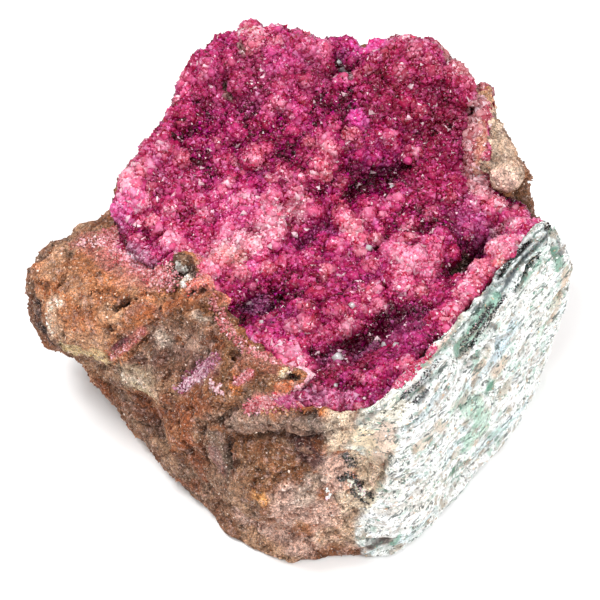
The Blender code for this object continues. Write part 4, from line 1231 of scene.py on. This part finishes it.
def drawn_sizes(draw, count, edges, squash):
    """Sizes of small shapes: an edge, more often a small one, and its squash along the third axis."""
    edge = (edges[0] + (edges[1] - edges[0]) * draw.random(count) ** 1.6) * MM
    return np.stack([edge, edge, edge * draw.uniform(*squash, count)], axis=1)


def uneven(colours, draw, spread, glints, glint_colour):
    """Colours made lighter and darker one by one, with a share of them turned to another colour, which is a
    painted glint on crystals and sand, and a tint of their own on dark sand grains and on flakes.
    """
    colours = np.clip(colours, 0, 1) ** np.exp(draw.normal(0, spread, len(colours)))[:, None]
    chosen = draw.random(len(colours)) < glints
    lay(colours, np.where(chosen, draw.uniform(0.5, 1, len(colours)), 0), glint_colour)
    return colours


def crust_crystals(name, seed, count, shape, edges, squash, sunk, tilt, glints, spread):
    """One kind of crystals over the crust, from a row of its table."""
    draw = np.random.default_rng(seed)
    places, outward, _ = area_draw(ground, count, draw, open_crust(-0.2))
    sizes = drawn_sizes(draw, count, edges, squash)
    colours = crust_colours(places, relief, clusters, draw.normal(0, 0.07, count), crust_tree)
    # Painted glints, thicker where the crust is paler, and painted shade at each crystal's foot and light at
    # its tip.
    glints = glints * (0.6 + 3 * smooth_step(colours[:, 1], 0.04, 0.3))
    colours = uneven(colours, draw, spread, glints, GLINT)
    places = places - outward * sizes[:, :1] * sunk
    return strewn(name, shapes[shape], places, turns(outward, draw, tilt), sizes, colours, foot=1.3, tip=0.7)


def clear_rhombs(tree):
    draw = np.random.default_rng(13)
    found = [(land(tree, pixel), edge) for pixel, edge in CLEAR_RHOMBS]
    outward = np.array([hit[1] for hit, _ in found])
    sizes = np.array([(edge * MM,) * 3 for _, edge in found])
    places = np.array([hit[0] for hit, _ in found]) + outward * sizes[:, :1] * 0.45
    frames = turns(outward, draw, 0.6)
    return strewn("clear_rhombs", shapes["rhomb"], places, frames, sizes, np.ones((len(found), 3)))


def drift_crystals(rock, tree):
    """Small crystals strewn over the rock where the crust thins out, and in its druses."""
    draw = np.random.default_rng(17)
    parts = []
    for colour, radius, count, edge, pixels in DRIFTS:
        chain = landed(tree, pixels)

        def near_chain(middles, normals, chain=chain, radius=radius):
            return np.clip(1 - (stroke_distance(middles, chain) / (radius * MM)) ** 2, 0, 1)

        places, outward, _ = area_draw(rock, count, draw, near_chain)
        sizes = drawn_sizes(draw, count, (0.5 * edge, 1.3 * edge), (0.7, 1.2))
        parts.append((places, outward, sizes, np.tile(linear(colour), (count, 1))))
    places, outward, sizes, colours = (np.concatenate(list(each)) for each in zip(*parts))
    # Painted glints on some crystals, and painted shade at their feet and light at their tips.
    colours = uneven(colours, draw, 0.3, 0.05, GLINT)
    places = places - outward * sizes[:, :1] * 0.1
    frames = turns(outward, draw, 0.4)
    return strewn("drift_crystals", shapes["tip"], places, frames, sizes, colours, foot=1.15, tip=0.86)


def sand_grains(rock, zone, pale):
    """Sandy grains stuck over the brown rock, in its own colours."""
    draw = np.random.default_rng(19)

    def brown_only(middles, normals):
        return (normals[:, 2] > -0.8) * (1 - pale[corners_of(rock)[:, 0]]) * (middles[:, 2] > FLOOR_GAP * MM)

    places, outward, near = area_draw(rock, SAND_GRAINS, draw, brown_only)
    sizes = drawn_sizes(draw, SAND_GRAINS, SAND_SIZE, (0.5, 0.9)) * draw.uniform(0.6, 1.3, (SAND_GRAINS, 3))
    # Painted glints on some grains, then darker grains of their own; painted shade at their feet and light at
    # their tips.
    colours = uneven(zone[near], draw, 0.28, 0.02, SAND_GLINT)
    colours = uneven(colours, draw, 0, 0.03, SAND_DARK)
    frames = turns(outward, draw, 0.5)
    return strewn("sand_grains", shapes["chip"], places, frames, sizes, colours, foot=1.1, tip=0.9)


def pale_flakes(rock, zone, pale):
    """Thin flakes and fibres on the pale face, lying along its run."""
    draw = np.random.default_rng(23)

    def pale_only(middles, normals):
        return (normals[:, 2] > -0.8) * pale[corners_of(rock)[:, 0]] ** 2 * (middles[:, 2] > FLOOR_GAP * MM)

    places, outward, near = area_draw(rock, PALE_FLAKES, draw, pale_only)
    run = np.tile(np.array(PALE_RUN), (PALE_FLAKES, 1)) + draw.normal(0, 0.22, (PALE_FLAKES, 3))
    long = draw.uniform(0.3, 0.8, PALE_FLAKES)
    wide = draw.uniform(0.14, 0.3, PALE_FLAKES)
    thick = draw.uniform(0.12, 0.24, PALE_FLAKES)
    sizes = np.stack([long, wide, thick], axis=1) * MM
    colours = zone[near].copy()
    for share, colour in FLAKE_TINTS:
        colours = uneven(colours, draw, 0.03, share, colour)
    frames = frames_along(outward + draw.normal(0, 0.2, outward.shape), run)
    return strewn("pale_flakes", shapes["chip"], places, frames, sizes, colours)


# Materials

def new_group(name, inputs):
    """A shader node group with these named inputs, and one colour out."""
    group = bpy.data.node_groups.new(name, "ShaderNodeTree")
    for socket, kind in inputs:
        group.interface.new_socket(socket, in_out="INPUT", socket_type="NodeSocket" + kind)
    group.interface.new_socket("Color", in_out="OUTPUT", socket_type="NodeSocketColor")
    given = group.nodes.new("NodeGroupInput").outputs
    out = group.nodes.new("NodeGroupOutput").inputs["Color"]
    return group, given, out


def join(tree, target, value):
    """Links a socket into another, or sets it to a plain value."""
    if isinstance(value, bpy.types.NodeSocket):
        tree.links.new(value, target)
    else:
        target.default_value = value


def node_of(tree, kind, **inputs):
    """A node with its inputs joined, named with _ for each space."""
    node = tree.nodes.new(kind)
    for key, value in inputs.items():
        join(tree, node.inputs[key.replace("_", " ")], value)
    return node


def colour_mix(tree, blend, factor, a, b):
    node = tree.nodes.new("ShaderNodeMix")
    node.data_type = "RGBA"
    node.blend_type = blend
    for index, value in ((0, factor), (6, a), (7, b)):
        join(tree, node.inputs[index], value)
    return node.outputs[2]


def mottle_group():
    """Lightens and darkens a colour by a fine noise."""
    group, given, out = new_group("mottle", (
        ("Color", "Color"), ("Coordinates", "Vector"), ("Scale", "Float"), ("Darkest", "Float"),
        ("Lightest", "Float"),
    ))
    field = node_of(group, "ShaderNodeTexNoise", Vector=given["Coordinates"], Scale=given["Scale"],
                    Detail=4.0, Roughness=0.65)
    light = node_of(group, "ShaderNodeMapRange", Value=field.outputs["Fac"], From_Min=0.3, From_Max=0.7,
                    To_Min=given["Darkest"], To_Max=given["Lightest"]).outputs["Result"]
    grey = node_of(group, "ShaderNodeCombineColor", Red=light, Green=light, Blue=light)
    group.links.new(colour_mix(group, "MULTIPLY", 1.0, given["Color"], grey.outputs["Color"]), out)
    return group


def fleck_group():
    """Lays flecks of one colour over another, where a noise passes a threshold."""
    group, given, out = new_group("flecks", (
        ("Color", "Color"), ("Coordinates", "Vector"), ("Scale", "Float"), ("Start", "Float"),
        ("Full", "Float"), ("Strength", "Float"), ("Fleck Color", "Color"),
    ))
    field = node_of(group, "ShaderNodeTexNoise", Vector=given["Coordinates"], Scale=given["Scale"],
                    Detail=3.0, Roughness=0.6)
    cover = node_of(group, "ShaderNodeMapRange", Value=field.outputs["Fac"], From_Min=given["Start"],
                    From_Max=given["Full"], To_Max=given["Strength"]).outputs["Result"]
    group.links.new(colour_mix(group, "MIX", cover, given["Color"], given["Fleck Color"]), out)
    return group


def placed_group(tree, name, **inputs):
    """One of the shared groups in a material, with its inputs joined, and its colour."""
    node = node_of(tree, "ShaderNodeGroup")
    node.node_tree = groups[name]
    for key, value in inputs.items():
        join(tree, node.inputs[key.replace("_", " ")], value)
    return node.outputs["Color"]


def mottled(tree, colour, coords, scale, darkest, lightest):
    return placed_group(tree, "mottle", Color=colour, Coordinates=coords, Scale=scale, Darkest=darkest,
                        Lightest=lightest)


def flecked(tree, colour, coords, scale, start, full, strength, fleck):
    return placed_group(tree, "flecks", Color=colour, Coordinates=coords, Scale=scale, Start=start, Full=full,
                        Strength=strength, Fleck_Color=(*linear(fleck), 1))


def with_layers(tree, colour, coords, layers):
    """A colour with a table's flecks and mottling laid over it."""
    for way, *values in layers:
        lay_over = flecked if len(values) == 5 else mottled
        colour = lay_over(tree, colour, coords[way], *values)
    return colour


def new_material(name):
    """A material with its node tree, its shader, object coordinates and the painted zone colour."""
    material = bpy.data.materials.new(name)
    material.use_nodes = True
    tree = material.node_tree
    coords = tree.nodes.new("ShaderNodeTexCoord").outputs["Object"]
    zone = tree.nodes.new("ShaderNodeAttribute")
    zone.attribute_name = "zone_colour"
    return material, tree, tree.nodes["Principled BSDF"], coords, zone.outputs["Color"]


def rock_material():
    material, tree, shader, coords, zone = new_material("broken_rock")
    skin = tree.nodes.new("ShaderNodeAttribute")
    skin.attribute_name = "pale_skin"
    turn = (0, 0, -math.atan2(PALE_RUN.y, PALE_RUN.x))
    run = node_of(tree, "ShaderNodeMapping", Vector=coords, Rotation=turn)
    fibres = node_of(tree, "ShaderNodeMapping", Vector=run.outputs["Vector"], Scale=(0.28, 1, 1))
    ways = {"plain": coords, "fibres": fibres.outputs["Vector"]}
    brown = with_layers(tree, zone, ways, BROWN_LAYERS)
    pale = with_layers(tree, zone, ways, PALE_LAYERS)
    colour = colour_mix(tree, "MIX", skin.outputs["Fac"], brown, pale)
    tree.links.new(colour, shader.inputs["Base Color"])
    shader.inputs["Roughness"].default_value = 0.75
    shader.inputs["Specular IOR Level"].default_value = 0.25
    height = node_of(tree, "ShaderNodeTexNoise", Vector=coords, Scale=2600.0, Detail=6.0, Roughness=0.75)
    bump = node_of(tree, "ShaderNodeBump", Strength=1.0, Distance=0.0005, Height=height.outputs["Fac"])
    tree.links.new(bump.outputs["Normal"], shader.inputs["Normal"])
    return material


def grain_material():
    material, tree, shader, coords, zone = new_material("sandy_grains")
    colour = mottled(tree, zone, coords, 3600, 0.5, 1.5)
    tree.links.new(colour, shader.inputs["Base Color"])
    shader.inputs["Roughness"].default_value = 0.6
    shader.inputs["Specular IOR Level"].default_value = 0.2
    return material


def calcite_material(name, roughness, scale, see_through=0.0):
    material, tree, shader, coords, zone = new_material(name)
    colour = mottled(tree, zone, coords, scale, 0.7, 1.26)
    # Pale pink flecks: painted sparkle on the crystals.
    colour = flecked(tree, colour, coords, scale * 1.2, 0.62, 0.68, 0.4, (255, 200, 214))
    tree.links.new(colour, shader.inputs["Base Color"])
    shader.inputs["Roughness"].default_value = roughness
    shader.inputs["IOR"].default_value = 1.6
    shader.inputs["Specular IOR Level"].default_value = 0.12
    shader.inputs["Specular Tint"].default_value = (1.0, 0.8, 0.86, 1)
    shader.inputs["Transmission Weight"].default_value = see_through
    shader.inputs["Subsurface Weight"].default_value = 0.25
    shader.inputs["Subsurface Radius"].default_value = (1.0, 0.4, 0.5)
    shader.inputs["Subsurface Scale"].default_value = 0.0006
    return material


def clear_material():
    material, _, shader, _, _ = new_material("clear_calcite")
    shader.inputs["Base Color"].default_value = (1.0, 0.97, 0.98, 1)
    shader.inputs["Roughness"].default_value = 0.02
    shader.inputs["IOR"].default_value = 1.6
    shader.inputs["Transmission Weight"].default_value = 0.6
    return material


def give(obj, material):
    obj.data.materials.clear()
    obj.data.materials.append(material)


# Floor, light and camera

def make_floor():
    deselect_all()
    bpy.ops.mesh.primitive_plane_add(size=4)
    floor = bpy.context.active_object
    floor.name = "floor"
    material, _, shader, _, _ = new_material("pale_floor")
    shader.inputs["Base Color"].default_value = (0.9, 0.9, 0.9, 1)
    shader.inputs["Roughness"].default_value = 0.7
    give(floor, material)


def add_lamp(name, place, size, power):
    lamp = bpy.data.lights.new(name, "AREA")
    lamp.size = size
    lamp.energy = power
    obj = link(bpy.data.objects.new(name, lamp))
    obj.location = place
    obj.rotation_euler = (LOOK_AT - Vector(place)).to_track_quat("-Z", "Y").to_euler()


def make_light():
    for lamp in LAMPS:
        add_lamp(*lamp)
    for number in range(RING_LAMPS):
        turn = math.radians(60 * number + 20)
        place = (RING_RADIUS * math.cos(turn), RING_RADIUS * math.sin(turn) - RING_SHIFT, RING_HEIGHT)
        add_lamp(f"glint_{number}", place, RING_LAMP_SIZE, RING_LAMP_POWER)
    world = bpy.data.worlds.new("studio")
    bpy.context.scene.world = world
    world.use_nodes = True
    sky = world.node_tree.nodes["Background"]
    sky.inputs["Color"].default_value = (1, 1, 1, 1)
    sky.inputs["Strength"].default_value = SKY_STRENGTH
    bpy.context.scene.view_settings.view_transform = "Standard"


def make_camera():
    camera = bpy.data.cameras.new("camera")
    camera.sensor_width = SENSOR_MM
    camera.lens = LENS_MM
    camera.clip_start = 0.01
    obj = link(bpy.data.objects.new("camera", camera))
    obj.location = CAMERA_PLACE
    obj.rotation_euler = CAMERA_TURN.to_euler()
    bpy.context.scene.camera = obj


# The whole scene

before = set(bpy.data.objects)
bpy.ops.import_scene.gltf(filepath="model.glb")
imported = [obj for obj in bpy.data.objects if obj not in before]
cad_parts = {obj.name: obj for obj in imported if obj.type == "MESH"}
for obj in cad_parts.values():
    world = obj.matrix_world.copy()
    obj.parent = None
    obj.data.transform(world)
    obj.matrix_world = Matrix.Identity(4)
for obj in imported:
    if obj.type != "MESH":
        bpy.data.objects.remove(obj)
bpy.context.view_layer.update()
make_camera()
groups = {"mottle": mottle_group(), "flecks": fleck_group()}

cad_tree = tree_of(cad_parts["matrix_rock"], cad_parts["calcite_crust"])
rock = rock_block()
ground, clusters = crust_ground()
surface = tree_of(rock, ground)
crust_tree = tree_of(ground)
zone, pale = dress_rock(rock, surface)
relief = Relief(crust_tree)
set_colours(ground.data, crust_colours(points_of(ground), relief, clusters, -0.1, crust_tree))

shapes = {"tip": tip_shape(), "rhomb": rhomb_shape(), "bead": bead_shape(), "chip": chip_shape()}
crust_pieces = [crust_crystals(*row) for row in DULL_CRYSTALS]
glassy_pieces = [crust_crystals(*row) for row in GLASSY_CRYSTALS]
clear = clear_rhombs(crust_tree)
drift = drift_crystals(rock, tree_of(rock, ground))
grains, flakes = sand_grains(rock, zone, pale), pale_flakes(rock, zone, pale)

crystal_finish = calcite_material("raspberry_calcite", 0.2, 4200)
glassy_finish = calcite_material("glassy_calcite", 0.12, 3000, see_through=0.25)
give(rock, rock_material())
give(ground, calcite_material("druse_body", 0.35, 1500))
for piece in (*crust_pieces, drift):
    give(piece, crystal_finish)
for piece in glassy_pieces:
    give(piece, glassy_finish)
give(clear, clear_material())
grain_finish = grain_material()
give(grains, grain_finish)
give(flakes, grain_finish)
for piece in (rock, grains, flakes, drift):
    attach(piece, "root")
for piece in (ground, *crust_pieces, *glassy_pieces, clear):
    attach(piece, "root")
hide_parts("matrix_rock")
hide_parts("calcite_crust")

make_floor()
make_light()
